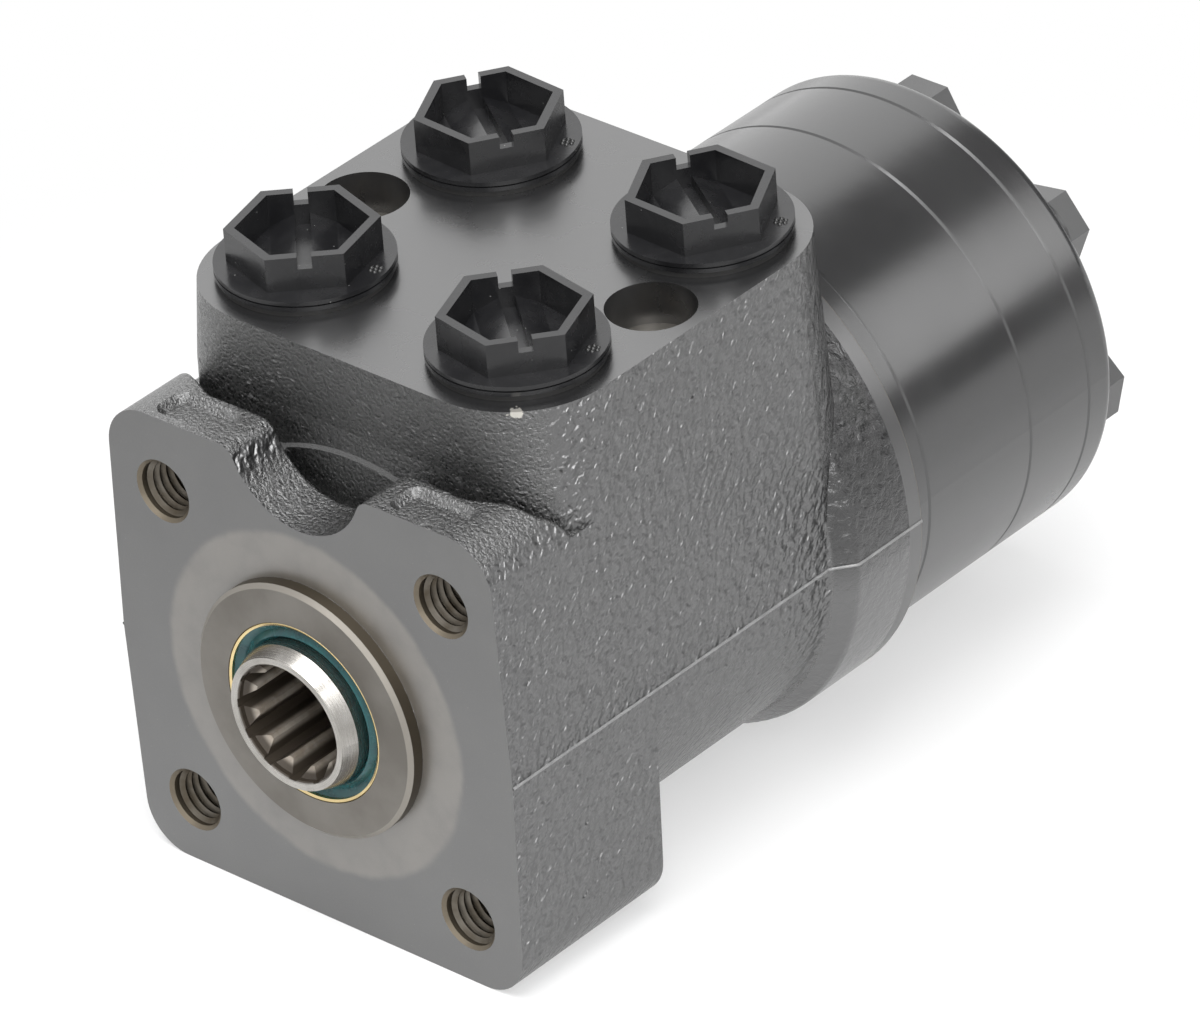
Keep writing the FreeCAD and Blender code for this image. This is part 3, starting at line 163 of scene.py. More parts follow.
class UnitSizes(bpy.types.PropertyGroup):
    """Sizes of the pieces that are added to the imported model."""

    thread_radius: FloatProperty(
        name="Thread radius", description="Outer radius of the M10 threads in the tapped holes",
        default=4.985 * MM, unit="LENGTH")
    thread_core: FloatProperty(
        name="Thread core", description="Radius over the thread's crests",
        default=4.25 * MM, unit="LENGTH")
    thread_pitch: FloatProperty(
        name="Thread pitch", description="Rise of one turn of the thread",
        default=1.5 * MM, unit="LENGTH")
    bolt_half: FloatProperty(
        name="Bolt square half", description="Half the side of the square of flange holes",
        default=BOLT_HALF, unit="LENGTH")
    flange_turns: IntProperty(
        name="Flange turns", description="Turns of thread in each flange hole", default=10)
    side_turns: IntProperty(
        name="Side turns", description="Turns of thread in each side hole", default=8)
    flash_radius: FloatProperty(
        name="Flash radius", description="Half the width of the casting's parting flash",
        default=0.27 * MM, unit="LENGTH")
    pip_radius: FloatProperty(
        name="Pip radius", description="Radius of the moulded pips on each plug's flange",
        default=0.42 * MM, unit="LENGTH")


class UnitColours(bpy.types.PropertyGroup):
    """Colours of the finishes."""

    paint: FloatVectorProperty(
        name="Paint", description="Black paint of the casting and the stack",
        subtype="COLOR", size=4, min=0, max=1, default=(0.0115, 0.0115, 0.0120, 1))
    flange_grey: FloatVectorProperty(
        name="Flange grey", description="Thin grey coat on the machined flange face",
        subtype="COLOR", size=4, min=0, max=1, default=(0.025, 0.025, 0.0245, 1))
    bare_iron: FloatVectorProperty(
        name="Bare iron", description="Unpainted machined iron round the shaft",
        subtype="COLOR", size=4, min=0, max=1, default=(0.108, 0.098, 0.084, 1))
    steel: FloatVectorProperty(
        name="Steel", description="Turned and ground steel",
        subtype="COLOR", size=4, min=0, max=1, default=(0.45, 0.435, 0.41, 1))
    plating: FloatVectorProperty(
        name="Plating", description="Yellow plating of the seal's case",
        subtype="COLOR", size=4, min=0, max=1, default=(0.80, 0.64, 0.34, 1))
    seal: FloatVectorProperty(
        name="Seal", description="Rubber lip of the shaft seal",
        subtype="COLOR", size=4, min=0, max=1, default=(0.012, 0.095, 0.100, 1))
    plastic: FloatVectorProperty(
        name="Plastic", description="Moulded plastic of the port plugs",
        subtype="COLOR", size=4, min=0, max=1, default=(0.010, 0.010, 0.011, 1))
    floor: FloatVectorProperty(
        name="Floor", description="Studio floor",
        subtype="COLOR", size=4, min=0, max=1, default=(0.90, 0.90, 0.90, 1))


class Nodes:
    """The nodes of one tree while they are put together."""

    def __init__(self, tree):
        self.tree = tree

    def add(self, kind, **settings):
        node = self.tree.nodes.new(kind)
        for key, value in settings.items():
            setattr(node, key, value)
        return node

    def put(self, socket, value):
        """Links an output, or sets a plain number or colour."""
        if isinstance(value, bpy.types.NodeSocket):
            self.tree.links.new(value, socket)
        else:
            socket.default_value = value

    def number(self, operation, a, b=0.0):
        node = self.add("ShaderNodeMath", operation=operation)
        self.put(node.inputs[0], a)
        self.put(node.inputs[1], b)
        return node.outputs[0]

    def vector(self, operation, a, b=(0, 0, 0)):
        node = self.add("ShaderNodeVectorMath", operation=operation)
        self.put(node.inputs[0], a)
        self.put(node.inputs[1], b)
        return node.outputs["Value" if operation in ("DISTANCE", "LENGTH") else "Vector"]

    def parts(self, vector):
        node = self.add("ShaderNodeSeparateXYZ")
        self.put(node.inputs[0], vector)
        return tuple(node.outputs)

    def fade(self, value, low, high, to_low=0.0, to_high=1.0):
        """A smooth step from to_low at low to to_high at high."""
        node = self.add("ShaderNodeMapRange", interpolation_type="SMOOTHSTEP")
        for name, number in (("From Min", low), ("From Max", high),
                             ("To Min", to_low), ("To Max", to_high)):
            node.inputs[name].default_value = number
        self.put(node.inputs["Value"], value)
        return node.outputs["Result"]

    def all_of(self, *masks):
        result = masks[0]
        for mask in masks[1:]:
            result = self.number("MULTIPLY", result, mask)
        return result

    def any_of(self, *masks):
        result = masks[0]
        for mask in masks[1:]:
            result = self.number("MAXIMUM", result, mask)
        return result

    def outside(self, mask):
        return self.number("SUBTRACT", 1.0, mask)

    def seen(self):
        """1 for rays from the camera, from mirrors and from glass, and 0 for the rest."""
        rays = self.add("ShaderNodeLightPath").outputs
        return self.any_of(
            rays["Is Camera Ray"], rays["Is Glossy Ray"], rays["Is Transmission Ray"])


class Finish(Nodes):
    """One material while its nodes are put together."""

    def __init__(self, name):
        self.material = bpy.data.materials.new(name)
        self.material.use_nodes = True
        super().__init__(self.material.node_tree)
        self.shader = self.tree.nodes["Principled BSDF"]
        place = self.add("ShaderNodeTexCoord")
        self.position = place.outputs["Object"]
        self.normal = place.outputs["Normal"]
        self.bumps = None

    def set(self, name, value):
        self.put(self.shader.inputs[name], value)

    def axis_distance(self):
        """The distance from the unit's long axis."""
        return self.vector("LENGTH", self.vector("MULTIPLY", self.position, (1, 0, 1)))

    def noise(self, grain, vector=None, detail=3.0, roughness=0.55, distortion=0.0):
        """Noise whose grains are about the given size in metres."""
        node = self.add("ShaderNodeTexNoise")
        self.put(node.inputs["Vector"], vector or self.position)
        node.inputs["Scale"].default_value = 1 / grain
        node.inputs["Detail"].default_value = detail
        node.inputs["Roughness"].default_value = roughness
        node.inputs["Distortion"].default_value = distortion
        return node.outputs["Fac"]

    def cells(self, grain, vector=None, feature="SMOOTH_F1"):
        """The distance to the nearest of points that lie about the given size apart."""
        node = self.add("ShaderNodeTexVoronoi", feature=feature)
        self.put(node.inputs["Vector"], vector or self.position)
        node.inputs["Scale"].default_value = 1 / grain
        return node.outputs["Distance"]

    def stretched(self, vector, turn, longer):
        """The vector turned by degrees and drawn out, so that a texture on it is longer."""
        node = self.add("ShaderNodeMapping", vector_type="TEXTURE")
        self.put(node.inputs["Vector"], vector)
        node.inputs["Rotation"].default_value = [math.radians(angle) for angle in turn]
        node.inputs["Scale"].default_value = longer
        return node.outputs[0]

    def mix(self, amount, a, b, kind="RGBA"):
        node = self.add("ShaderNodeMix", data_type=kind)
        self.put(node.inputs["Factor"], amount)
        self.put(node.inputs["A"], a)
        self.put(node.inputs["B"], b)
        return node.outputs["Result"]

    def blend(self, amount, a, b):
        return self.mix(amount, a, b, kind="FLOAT")

    def bump(self, height, depth, strength=1.0):
        """Adds a relief of the given depth in metres over the ones before it."""
        node = self.add("ShaderNodeBump")
        self.put(node.inputs["Strength"], strength)
        node.inputs["Distance"].default_value = depth
        self.put(node.inputs["Height"], height)
        if self.bumps is not None:
            self.tree.links.new(self.bumps, node.inputs["Normal"])
        self.bumps = node.outputs["Normal"]
        self.set("Normal", self.bumps)

    def cover(self, *names):
        """Puts the material on CAD nodes or on new pieces."""
        for name in names:
            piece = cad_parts.get(name) or bpy.data.objects[name]
            if piece.material_slots:
                for slot in piece.material_slots:
                    slot.material = self.material
            else:
                piece.data.materials.append(self.material)


class CastingFinish(Finish):
    """Black paint on rough casting, with machined faces, bores and tapped holes told apart."""

    def __init__(self, colours):
        super().__init__("casting_paint")
        self.cloud = self.noise(14 * MM, detail=5)
        self.fine = self.noise(0.35 * MM, detail=3)
        self.ragged = self.noise(7 * MM, detail=4)
        self.skin = self.noise(0.60 * MM, detail=3.5, roughness=0.6, distortion=0.4)
        self.find_faces()
        self.colour(colours)
        self.gloss()
        self.relief()
        self.cover("housing")

    def find_faces(self):
        """Makes a mask for each kind of surface, from the place and the way that it faces."""
        y, z = self.y, self.z = self.parts(self.position)[1:]
        normal_y, normal_z = self.parts(self.normal)[1:]
        upward = self.fade(normal_z, *FACES_UP)
        self.radius = self.axis_distance()
        sway = self.number("MULTIPLY", self.number("SUBTRACT", self.ragged, 0.5), 1.4 * MM)
        mirrored = self.vector("ABSOLUTE", self.position)
        sideways = self.parts(mirrored)[0]
        corner = self.vector("MULTIPLY", mirrored, (1, 0, 1))
        across = self.vector("SUBTRACT", self.position, (0, BLOCK_MIDDLE, 0))
        across = self.vector("MULTIPLY", self.vector("ABSOLUTE", across), (1, 1, 0))
        from_port = self.vector("DISTANCE", across, (PORT_X, PORT_HALF_Y, 0))
        from_side_hole = self.vector(
            "DISTANCE", across, (SIDE_HOLE_X, SIDE_HOLE_Y - BLOCK_MIDDLE, 0))
        upper_half = self.fade(z, *UPPER_HALF_Z)

        self.front = self.all_of(self.fade(y, *FRONT_Y), self.fade(normal_y, *FACES_FORWARD))
        self.bare_ring = self.all_of(
            self.front, self.fade(self.number("ADD", self.radius, sway), *BARE_RADIUS))
        self.spigot = self.fade(y, *SPIGOT_Y)
        self.bolt = self.all_of(
            self.fade(self.vector("DISTANCE", corner, (BOLT_HALF, 0, BOLT_HALF)), *BOLT_RADIUS),
            self.fade(y, 20 * MM, 19 * MM), self.fade(y, 0.0, 0.03 * MM))
        bore = self.all_of(self.fade(self.radius, *BORE_RADIUS), self.fade(y, 0.0, 0.2 * MM))
        port = self.all_of(self.fade(from_port, *PORT_RADIUS), self.fade(z, *PORT_Z), upper_half)
        side_hole = self.all_of(
            self.fade(from_side_hole, *SIDE_HOLE_RADIUS), self.fade(z, *SIDE_HOLE_Z), upper_half)
        counterbore = self.all_of(self.fade(from_side_hole, *COUNTERBORE_RADIUS), upper_half)
        counterbore_floor = self.all_of(counterbore, self.fade(z, *COUNTERBORE_FLOOR_Z), upward)
        from_chip = self.vector(
            "DISTANCE", self.vector("MULTIPLY", self.position, CHIP_SQUEEZE), CHIP)
        chip_edge = self.number("MULTIPLY", self.noise(0.8 * MM, detail=3), 1.5 * MM)
        self.chip = self.fade(self.number("ADD", from_chip, chip_edge), *CHIP_SIZE)
        self.top = self.all_of(self.fade(z, *PORT_FACE_Z), upward)
        self.metal = self.any_of(
            self.bolt, bore, port, side_hole, self.spigot, counterbore_floor, self.chip,
            self.fade(y, *REAR_FACE_Y))
        machined = self.any_of(self.front, self.top, self.metal, counterbore)
        self.cast = self.all_of(
            self.outside(machined), self.outside(self.fade(y, *TURNED_BAND_Y)))
        lean = self.vector("LENGTH", self.vector("MULTIPLY", self.normal, (1, 0, 0)))
        self.sides = self.fade(lean, *FACES_SIDEWAYS)
        # the narrow step at the back of the gully behind the notch, painted near-black as painted
        # shade and made dull
        self.ledge = self.all_of(
            self.fade(normal_z, 0.45, 0.75), self.fade(sideways, 18 * MM, 16 * MM),
            self.fade(y, 10.9 * MM, 11.3 * MM), self.fade(y, 18 * MM, 17 * MM),
            self.fade(z, 41 * MM, 40 * MM), self.fade(z, 20 * MM, 24 * MM))
        self.flange = self.fade(y, *REAR_FLANGE_Y)
        self.ahead = self.outside(self.flange)
        self.off_side = self.all_of(self.cast, self.outside(self.sides), self.ahead)

    def colour(self, colours):
        y, z = self.y, self.z
        paint = self.mix(self.fade(self.cloud, 0.35, 0.7), colours.paint, WORN_PAINT)
        grey = self.mix(self.fade(self.cloud, 0.3, 0.75), colours.flange_grey, WORN_GREY)
        grey = self.mix(self.fade(self.fine, 0.62, 0.75, 0.0, 0.35), grey, GREY_GRAIN)
        stain = self.mix(self.fade(self.ragged, 0.4, 0.75), colours.bare_iron, DARK_STAIN)
        stain = self.mix(self.fade(self.fine, 0.55, 0.8, 0.0, 0.4), stain, STAIN_GRAIN)
        iron = self.mix(self.fade(self.cloud, 0.3, 0.7), CUT_IRON, DULL_IRON)
        # darker deeper in the flange holes: painted shade in the hollow over the iron's brown mouth
        hole = self.mix(self.fade(y, 0.3 * MM, 2.5 * MM), HOLE_MOUTH, HOLE_DEPTH_SHADE)
        # the upper cast surfaces ahead of the rear flange are painted near-black: painted shade of
        # the valley
        shaded_upper_front = self.all_of(self.off_side, self.fade(z, 20 * MM, 26 * MM))
        spigot_wall = self.all_of(self.spigot, self.fade(self.radius, *SPIGOT_WALL_RADIUS),
                                  self.fade(y, *SPIGOT_WALL_Y))
        # painted highlight on the spigot's edge, over brighter cut metal
        rim = self.all_of(self.fade(self.radius, *RIM_RADIUS), self.fade(y, *RIM_Y))
        colour = self.mix(shaded_upper_front, paint, SHADE_BLACK)
        for mask, tone in ((self.front, grey), (self.bare_ring, stain), (self.metal, iron),
                           (self.bolt, hole), (spigot_wall, SPIGOT_RUST), (rim, RIM_METAL_AND_HIGHLIGHT),
                           (self.chip, CHIP_METAL), (self.ledge, SHADE_BLACK)):
            colour = self.mix(mask, colour, tone)
        self.set("Base Color", colour)
        # part metal on the rear flange's upper half keeps its reflections dark
        dark_flange = self.all_of(self.cast, self.flange, self.fade(z, -6 * MM, 4 * MM))
        self.set("Metallic", self.any_of(self.number("MULTIPLY", self.metal, 0.85),
                                         self.number("MULTIPLY", dark_flange, 0.45)))
        self.set("IOR", CAST_PAINT_IOR)

    def gloss(self):
        # short dull pits round the block's front corners
        round_corner = self.stretched(
            self.vector("ABSOLUTE", self.position), (0, 0, 45), (2.6, 1, 1))
        strokes = self.fade(self.cells(1.7 * MM, round_corner, feature="F1"), 0.27, 0.12)
        self.strokes = self.all_of(
            strokes, self.cast, self.fade(self.z, 41 * MM, 44 * MM),
            self.fade(self.y, 36 * MM, 26 * MM),
            self.fade(self.noise(5 * MM, detail=2), 0.42, 0.55))
        gloss = self.blend(self.sides, self.fade(self.cloud, 0.3, 0.7, 0.26, 0.34),
                           self.fade(self.cloud, 0.3, 0.7, 0.32, 0.39))
        for mask, rough in ((self.top, self.fade(self.cloud, 0.3, 0.7, 0.25, 0.29)),
                            (self.front, self.fade(self.fine, 0.3, 0.7, 0.34, 0.42)),
                            (self.metal, 0.42),
                            (self.all_of(self.cast, self.flange), 0.16),
                            (self.off_side, self.fade(self.skin, 0.42, 0.6, 0.22, 0.42)),
                            (self.any_of(self.strokes, self.ledge), 0.9)):
            gloss = self.blend(mask, gloss, rough)
        self.set("Roughness", gloss)

    def relief(self):
        """Slanting dimples on the sides, lumps on the rear flange and a finer skin elsewhere."""
        slant = self.stretched(self.position, (-38, 0, 0), (1, 1, 1.35))
        dimples = self.noise(1.35 * MM, slant, detail=1.5, roughness=0.5, distortion=0.15)
        pits = self.fade(self.cells(5.2 * MM, slant), 0.0, 0.13)
        wall = self.all_of(self.cast, self.sides, self.ahead)
        self.bump(dimples, 1.5 * MM, wall)
        self.bump(pits, 0.35 * MM, wall)
        self.bump(self.skin, 0.42 * MM, self.off_side)
        self.bump(self.outside(self.strokes), 0.16 * MM)
        lumps = self.noise(1.9 * MM, detail=4, roughness=0.6, distortion=0.6)
        calmer_below = self.fade(self.z, -14 * MM, 2 * MM, 0.4, 1.0)
        self.bump(lumps, 0.55 * MM, self.all_of(self.cast, self.flange, calmer_below))
        self.bump(self.fine, 0.010 * MM, self.any_of(self.front, self.metal))
        self.bump(self.noise(1.6 * MM, detail=2), 0.012 * MM, self.top)


class TurnedPaint(Finish):
    """Black paint over a turned surface: faint rings and a little orange peel."""

    def __init__(self, name, colours, gloss):
        super().__init__(name)
        peel = self.noise(3.2 * MM, detail=2)
        cloud = self.noise(22 * MM, detail=3)
        along = self.vector("MULTIPLY", self.position, (0.02, 1, 0.02))
        rings = self.noise(0.5 * MM, along, detail=2)
        self.set("Base Color", self.mix(
            self.fade(cloud, 0.3, 0.7), colours.paint, STACK_WORN_PAINT))
        self.set("Roughness", self.fade(cloud, 0.25, 0.75, gloss - 0.03, gloss + 0.04))
        self.set("IOR", PAINT_IOR)
        self.bump(peel, 0.012 * MM)
        self.bump(rings, 0.0035 * MM)


class SteelFinish(Finish):
    """Ground or turned steel with fine rings about the long axis."""

    def __init__(self, name, colour, dark, rough):
        super().__init__(name)
        self.radius = self.axis_distance()
        self.y = self.parts(self.position)[1]
        line = self.add("ShaderNodeCombineXYZ")
        self.put(line.inputs[0], self.radius)
        self.put(line.inputs[1], self.y)
        rings = self.noise(0.35 * MM, line.outputs[0], detail=3, roughness=0.7)
        cloud = self.noise(4 * MM, detail=3)
        self.bright = self.mix(self.fade(cloud, 0.3, 0.75), colour, dark)
        self.ringed = self.fade(rings, 0.3, 0.7, rough - 0.05, rough + 0.08)
        self.set("Base Color", self.bright)
        self.set("Metallic", 1.0)
        self.set("Roughness", self.ringed)
        self.bump(rings, 0.006 * MM)


def select_only(piece):
    bpy.ops.object.select_all(action="DESELECT")
    piece.select_set(True)
    bpy.context.view_layer.objects.active = piece


def settle(piece):
    """Puts the piece's place into its mesh."""
    select_only(piece)
    bpy.ops.object.transform_apply(location=True, rotation=True, scale=True)


def copy_of(first, name):
    """A copy with a mesh of its own, both under the given name."""
    piece = first.copy()
    piece.data = first.data.copy()
    piece.name = piece.data.name = name
    bpy.context.collection.objects.link(piece)
    return piece


class PaintCasting(bpy.types.Operator):
    """Paint the casting, leaving its machined faces, bores and tapped holes bare"""

    bl_idname = "unit.paint_casting"
    bl_label = "Paint casting"

    def execute(self, context):
        CastingFinish(context.scene.unit_colours)
        return {"FINISHED"}


class PaintStack(bpy.types.Operator):
    """Paint the turned plates, the gear ring, the cover and its screws"""

    bl_idname = "unit.paint_stack"
    bl_label = "Paint stack"

    def execute(self, context):
        colours = context.scene.unit_colours
        stack = TurnedPaint("stack_paint", colours, 0.24)
        stack.cover("distribution_plate", "gear_ring", "end_plate", "end_cover")
        screws = TurnedPaint("screw_paint", colours, 0.38)
        screws.cover("cover_screws", "cover_washers")
        return {"FINISHED"}


class FinishSteel(bpy.types.Operator):
    """Give the shaft, gears, bearing and springs their bare metals"""

    bl_idname = "unit.finish_steel"
    bl_label = "Finish steel"

    def execute(self, context):
        f = SteelFinish("turned_steel", context.scene.unit_colours.steel, DARK_STEEL, 0.22)
        # the spline bore is brown and dull, with painted shade between its teeth
        inside = f.all_of(f.fade(f.radius, 10.75 * MM, 10.6 * MM),
                          f.fade(f.y, 15 * MM, 14.5 * MM), f.fade(f.y, -6.78 * MM, -6.5 * MM))
        smear = f.noise(2.5 * MM, detail=4)
        land = f.mix(f.fade(smear, 0.3, 0.7), SPLINE_LAND, SPLINE_SMEAR)
        brown = f.mix(f.fade(f.radius, 8.85 * MM, 9.7 * MM), land, SPLINE_GAP_SHADE)
        f.set("Base Color", f.mix(inside, f.bright, brown))
        f.set("Metallic", f.fade(inside, 0.0, 1.0, 1.0, 0.40))
        f.set("Roughness", f.blend(inside, f.ringed, 0.42))
        f.cover("spool", "sleeve")
        tool = SteelFinish("hardened_steel", (0.50, 0.50, 0.51, 1), (0.40, 0.40, 0.41, 1), 0.28)
        tool.cover("rotor", "drive_spacer", "spring_keeper", "cross_pin", "front_race", "rear_race",
                   "needles", "needle_cage", "cardan_shaft", "check_bushing", "check_ball")
        spring = SteelFinish("spring_steel", (0.20, 0.22, 0.30, 1), (0.14, 0.15, 0.20, 1), 0.30)
        spring.cover("bent_springs", "flat_springs")
        return {"FINISHED"}


class FinishSeals(bpy.types.Operator):
    """Give the shaft seal, the glide ring and the rubber rings their finishes"""

    bl_idname = "unit.finish_seals"
    bl_label = "Finish seals"

    def execute(self, context):
        colours = context.scene.unit_colours
        case = SteelFinish("seal_plating", colours.plating, DARK_PLATING, 0.22)
        case.cover("seal_case")
        lip = Finish("seal_lip_rubber")
        lip.set("Base Color", lip.mix(
            lip.fade(lip.noise(3 * MM), 0.3, 0.7), colours.seal, DARK_SEAL))
        lip.set("Roughness", lip.fade(lip.noise(2 * MM), 0.3, 0.7, 0.16, 0.30))
        lip.bump(lip.noise(0.6 * MM), 0.01 * MM)
        lip.cover("seal_lip")
        rubber = Finish("ring_rubber")
        rubber.set("Base Color", rubber.mix(
            rubber.noise(2 * MM), (0.014, 0.014, 0.014, 1), (0.024, 0.023, 0.022, 1)))
        rubber.set("Roughness", rubber.fade(rubber.noise(1.2 * MM), 0.3, 0.7, 0.45, 0.62))
        rubber.bump(rubber.noise(0.3 * MM), 0.01 * MM)
        rubber.cover("housing_seal", "ring_seal", "end_plate_seal", "cover_seal",
                     *(name + "_seal" for name in PLUGS))
        glide = Finish("glide_ring_plastic")
        glide.set("Base Color", glide.mix(
            glide.noise(1.5 * MM), (0.06, 0.13, 0.16, 1), (0.09, 0.18, 0.21, 1)))
        glide.set("Roughness", 0.42)
        glide.bump(glide.noise(0.4 * MM), 0.008 * MM)
        glide.cover("glide_ring")
        return {"FINISHED"}


class FinishPlugs(bpy.types.Operator):
    """Give the port plugs their glossy moulded plastic with a little dust"""

    bl_idname = "unit.finish_plugs"
    bl_label = "Finish plugs"

    def execute(self, context):
        f = Finish("plug_plastic")
        cloud = f.noise(5 * MM, detail=3)
        speck = f.fade(f.cells(1.7 * MM, feature="F1"), 0.075, 0.05)
        sparse = f.fade(f.noise(4.5 * MM, detail=1), 0.56, 0.62)
        dust = f.all_of(speck, sparse)
        plastic = context.scene.unit_colours.plastic
        base = f.mix(f.fade(cloud, 0.3, 0.7), plastic, BRIGHT_PLASTIC)
        f.set("Base Color", f.mix(f.number("MULTIPLY", dust, 0.55), base, DUST))
        f.set("Roughness", f.blend(dust, f.fade(cloud, 0.3, 0.7, 0.20, 0.30), 0.8))
        f.bump(f.noise(2.4 * MM, detail=2), 0.02 * MM)
        f.bump(f.noise(0.25 * MM, detail=2), 0.003 * MM)
        f.cover(*PLUGS)
        return {"FINISHED"}


class CutThreads(bpy.types.Operator):
    """Cut M10 threads into the four flange holes and the two side holes"""

    bl_idname = "unit.cut_threads"
    bl_label = "Cut threads"

    def thread(self, sizes, turns):
        """A threaded wall about the Y axis, drawn as one tooth that is screwed round."""
        rise = sizes.thread_radius - sizes.thread_core
        pitch = sizes.thread_pitch
        bpy.ops.mesh.primitive_plane_add(size=pitch)
        piece = bpy.context.active_object
        bpy.ops.object.mode_set(mode="EDIT")
        bpy.ops.mesh.select_all(action="SELECT")
        bpy.ops.mesh.merge(type="CENTER")
        bpy.ops.transform.translate(value=(sizes.thread_radius, 0, 0))
        for step in ((-rise, FLANK * pitch, 0), (0, CREST * pitch, 0),
                     (rise, FLANK * pitch, 0), (0, ROOT * pitch, 0)):
            bpy.ops.mesh.extrude_region_move(TRANSFORM_OT_translate={"value": step})
        bpy.ops.object.mode_set(mode="OBJECT")
        screw = piece.modifiers.new("screw", "SCREW")
        screw.axis = "Y"
        screw.angle = math.tau
        screw.screw_offset = pitch
        screw.iterations = turns
        screw.steps = screw.render_steps = 40
        screw.use_merge_vertices = True
        screw.merge_threshold = 0.002 * MM
        select_only(piece)
        bpy.ops.object.modifier_apply(modifier=screw.name)
        bpy.ops.object.shade_smooth_by_angle(angle=math.radians(35))
        return piece

    def spread(self, first, places, turn):
        """Puts a copy of the thread at each place and returns the copies' names."""
        for name, place in places.items():
            piece = copy_of(first, name)
            piece.matrix_world = turn
            piece.location = place
            settle(piece)
            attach(piece, "housing")
        bpy.data.objects.remove(first)
        return tuple(places)

    def execute(self, context):
        sizes = context.scene.unit_sizes
        columns = {"left": -1, "right": 1}
        rows = {"lower": -1, "upper": 1}
        flange = {f"flange_thread_{row}_{column}":
                  (x * sizes.bolt_half, 0.95 * MM, z * sizes.bolt_half)
                  for column, x in columns.items() for row, z in rows.items()}
        side = {f"side_thread_{column}": (x * SIDE_HOLE_X, SIDE_HOLE_Y, SIDE_THREAD_Z)
                for column, x in columns.items()}
        upright = Matrix.Rotation(math.radians(-90), 4, "X")
        names = self.spread(self.thread(sizes, sizes.flange_turns), flange, Matrix())
        names += self.spread(self.thread(sizes, sizes.side_turns), side, upright)
        f = SteelFinish("thread_steel", (0.165, 0.150, 0.128, 1), (0.090, 0.075, 0.055, 1), 0.38)
        f.cover(*names)
        return {"FINISHED"}


class RaiseFlash(bpy.types.Operator):
    """Raise the thin flash that the two halves of the mould left along both sides"""

    bl_idname = "unit.raise_flash"
    bl_label = "Raise flash"

    def parting_line(self):
        """The outline of the housing's cut along the mould's parting plane."""
        piece = copy_of(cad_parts["housing"], "casting_flash")
        piece.parent = None
        piece.matrix_world = Matrix()
        select_only(piece)
        bpy.ops.object.mode_set(mode="EDIT")
        bpy.ops.mesh.select_all(action="SELECT")
        bpy.ops.mesh.remove_doubles(threshold=0.002 * MM)
        bpy.ops.mesh.bisect(plane_co=(0, 0, -0.05 * MM), plane_no=(0, 0, 1),
                            clear_inner=True, clear_outer=True)
        bpy.ops.mesh.select_all(action="DESELECT")
        bpy.ops.object.mode_set(mode="OBJECT")
        # the hollows inside and the rear face carry no flash
        for vertex in piece.data.vertices:
            x, y, _ = vertex.co
            vertex.select = abs(x) < 39 * MM or (y > 96.3 * MM and abs(x) < 43.9 * MM)
        bpy.ops.object.mode_set(mode="EDIT")
        bpy.ops.mesh.delete(type="VERT")
        bpy.ops.object.mode_set(mode="OBJECT")
        piece.data.materials.clear()

    def execute(self, context):
        self.parting_line()
        bpy.ops.object.convert(target="CURVE")
        piece = bpy.context.active_object
        piece.data.bevel_depth = context.scene.unit_sizes.flash_radius
        piece.data.bevel_resolution = 2
        bpy.ops.object.convert(target="MESH")
        piece = bpy.context.active_object
        bpy.ops.object.shade_smooth()
        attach(piece, "housing")
        f = TurnedPaint("flash_paint_and_highlight", context.scene.unit_colours, 0.46)
        # light grey on the flash: worn paint and a painted highlight along the ridge
        rubbed_and_highlight = f.fade(f.noise(2.2 * MM, detail=3), 0.3, 0.7)
        f.set("Base Color", f.mix(rubbed_and_highlight, (0.14, 0.14, 0.14, 1), (0.20, 0.20, 0.20, 1)))
        f.bump(f.noise(1.2 * MM, detail=3), 0.15 * MM)
        f.cover(piece.name)
        return {"FINISHED"}


class MouldPips(bpy.types.Operator):
    """Mould a ring of small pips on each plug's flange, beside a corner of the hexagon"""

    bl_idname = "unit.mould_pips"
    bl_label = "Mould pips"

    def cluster(self, sizes):
        """One pip with six around it, as one mesh about the origin."""
        spacing = sizes.pip_radius * 2.05
        around = [(spacing * math.cos(turn), spacing * math.sin(turn), 0)
                  for turn in (math.radians(60 * place) for place in range(6))]
        pips = []
        for place in around + [(0, 0, 0)]:
            bpy.ops.mesh.primitive_uv_sphere_add(
                segments=16, ring_count=8, radius=sizes.pip_radius, location=place)
            pips.append(bpy.context.active_object)
        for pip in pips:
            pip.select_set(True)
        bpy.ops.object.join()
        piece = bpy.context.active_object
        settle(piece)
        bpy.ops.object.shade_smooth()
        return piece

    def execute(self, context):
        first = self.cluster(context.scene.unit_sizes)
        for name, (x, y, angle) in PLUGS.items():
            piece = copy_of(first, name + "_pips")
            turn = math.radians(angle)
            piece.location = (x + PIP_REACH * math.cos(turn), y + PIP_REACH * math.sin(turn),
                              PLUG_TOP - PIP_SINK)
            settle(piece)
            piece.data.materials.append(bpy.data.materials["plug_plastic"])
            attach(piece, name)
        bpy.data.objects.remove(first)
        return {"FINISHED"}


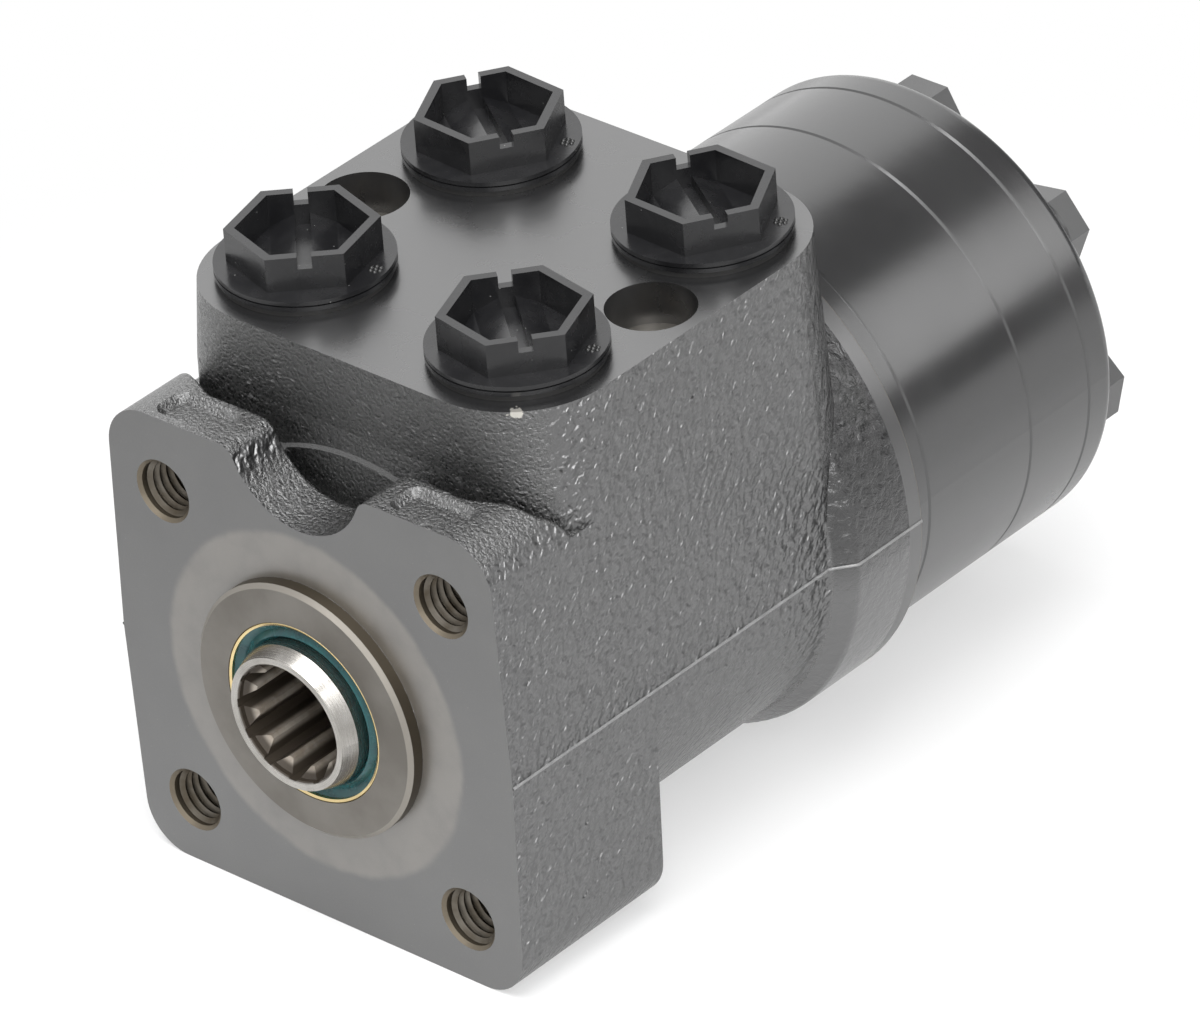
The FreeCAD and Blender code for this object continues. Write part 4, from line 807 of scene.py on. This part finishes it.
class BuildStage(bpy.types.Operator):
    """Lay the pale floor, hang the soft lamps and set up the camera"""

    bl_idname = "unit.build_stage"
    bl_label = "Build stage"

    def floor(self, colours):
        slope = math.atan((REAR_FOOT - FLANGE_FOOT) / REAR_FOOT_Y)
        bpy.ops.mesh.primitive_plane_add(size=6, location=(0, 0, FLANGE_FOOT - 0.05 * MM),
                                         rotation=(slope, 0, 0))
        floor = bpy.context.active_object
        floor.name = floor.data.name = "studio_floor"
        settle(floor)
        f = Finish("studio_floor")
        f.set("Base Color", colours.floor)
        f.set("Roughness", 0.9)
        f.set("Specular IOR Level", 0.15)
        # away from the unit's shadow, whatever sees the floor sees plain white
        away = f.vector("DISTANCE", f.position, FLOOR_MIDDLE)
        far = f.fade(away, 0.06, 0.24, 0.50, 1.0)
        white = f.add("ShaderNodeEmission")
        f.put(white.inputs["Strength"], 1.0)
        mixer = f.add("ShaderNodeMixShader")
        f.put(mixer.inputs[0], f.all_of(f.seen(), far))
        f.put(mixer.inputs[1], f.shader.outputs[0])
        f.put(mixer.inputs[2], white.outputs[0])
        f.put(f.tree.nodes["Material Output"].inputs["Surface"], mixer.outputs[0])
        floor.data.materials.append(f.material)

    def lamp(self, name, place, aim, size, power):
        bpy.ops.object.light_add(type="AREA", location=place)
        lamp = bpy.context.active_object
        lamp.name = lamp.data.name = name
        lamp.data.shape = "RECTANGLE"
        lamp.data.size, lamp.data.size_y = size
        lamp.data.energy = power
        aim = Vector(aim) - Vector(place)
        lamp.rotation_euler = aim.to_track_quat("-Z", "Y").to_euler()

    def camera(self):
        ahead = Vector(CAMERA_AHEAD).normalized()
        right = ahead.cross(Vector(CAMERA_UP)).normalized()
        up = right.cross(ahead)
        bpy.ops.object.camera_add()
        camera = bpy.context.active_object
        camera.name = camera.data.name = "photo_camera"
        turn = Matrix((right, up, -ahead)).transposed().to_4x4()
        camera.matrix_world = Matrix.Translation(CAMERA_PLACE) @ turn
        camera.data.sensor_fit = "HORIZONTAL"
        camera.data.sensor_width = SENSOR_WIDTH
        camera.data.lens = PHOTO_FOCAL / PHOTO_WIDTH * SENSOR_WIDTH
        camera.data.clip_end = 20
        bpy.context.scene.camera = camera

    def world(self):
        """White to the camera, to mirrors and to glass, and a dim fill light for the rest."""
        world = bpy.data.worlds.new("studio_world")
        bpy.context.scene.world = world
        world.use_nodes = True
        w = Nodes(world.node_tree)
        # the room's far end, behind the unit, is dim, which draws the dark bands on the stack
        back = w.parts(w.add("ShaderNodeTexCoord").outputs["Generated"])[1]
        room = w.any_of(w.fade(back, 0.30, 0.52, 1.0, 0.22),
                        w.add("ShaderNodeLightPath").outputs["Is Camera Ray"])
        background = w.tree.nodes["Background"].inputs
        w.put(background["Strength"], w.all_of(w.fade(w.seen(), 0.0, 1.0, 0.25, 1.0), room))
        w.put(background["Color"], (1, 1, 1, 1))

    def execute(self, context):
        self.floor(context.scene.unit_colours)
        for name, lamp in LAMPS.items():
            self.lamp(name, *lamp)
        self.camera()
        self.world()
        context.scene.view_settings.view_transform = "Standard"
        return {"FINISHED"}


class UnitPanel(bpy.types.Panel):
    """Lists the steps that dress the unit, with its sizes and colours"""

    bl_idname = "VIEW3D_PT_steering_unit"
    bl_label = "Steering unit"
    bl_space_type = "VIEW_3D"
    bl_region_type = "UI"
    bl_category = "Steering unit"

    def draw(self, context):
        for step in STEPS:
            self.layout.operator(step.bl_idname)
        for group in (context.scene.unit_sizes, context.scene.unit_colours):
            for name in group.__annotations__:
                self.layout.prop(group, name)


STEPS = (PaintCasting, PaintStack, FinishSteel, FinishSeals, FinishPlugs, CutThreads, RaiseFlash,
         MouldPips, BuildStage)
CLASSES = (UnitSizes, UnitColours) + STEPS + (UnitPanel,)


def register():
    for item in CLASSES:
        bpy.utils.register_class(item)
    bpy.types.Scene.unit_sizes = PointerProperty(type=UnitSizes)
    bpy.types.Scene.unit_colours = PointerProperty(type=UnitColours)


def unregister():
    del bpy.types.Scene.unit_colours
    del bpy.types.Scene.unit_sizes
    for item in reversed(CLASSES):
        bpy.utils.unregister_class(item)


def main():
    register()
    bpy.ops.unit.paint_casting()
    bpy.ops.unit.paint_stack()
    bpy.ops.unit.finish_steel()
    bpy.ops.unit.finish_seals()
    bpy.ops.unit.finish_plugs()
    bpy.ops.unit.cut_threads()
    bpy.ops.unit.raise_flash()
    bpy.ops.unit.mould_pips()
    bpy.ops.unit.build_stage()


if __name__ == "__main__":
    main()
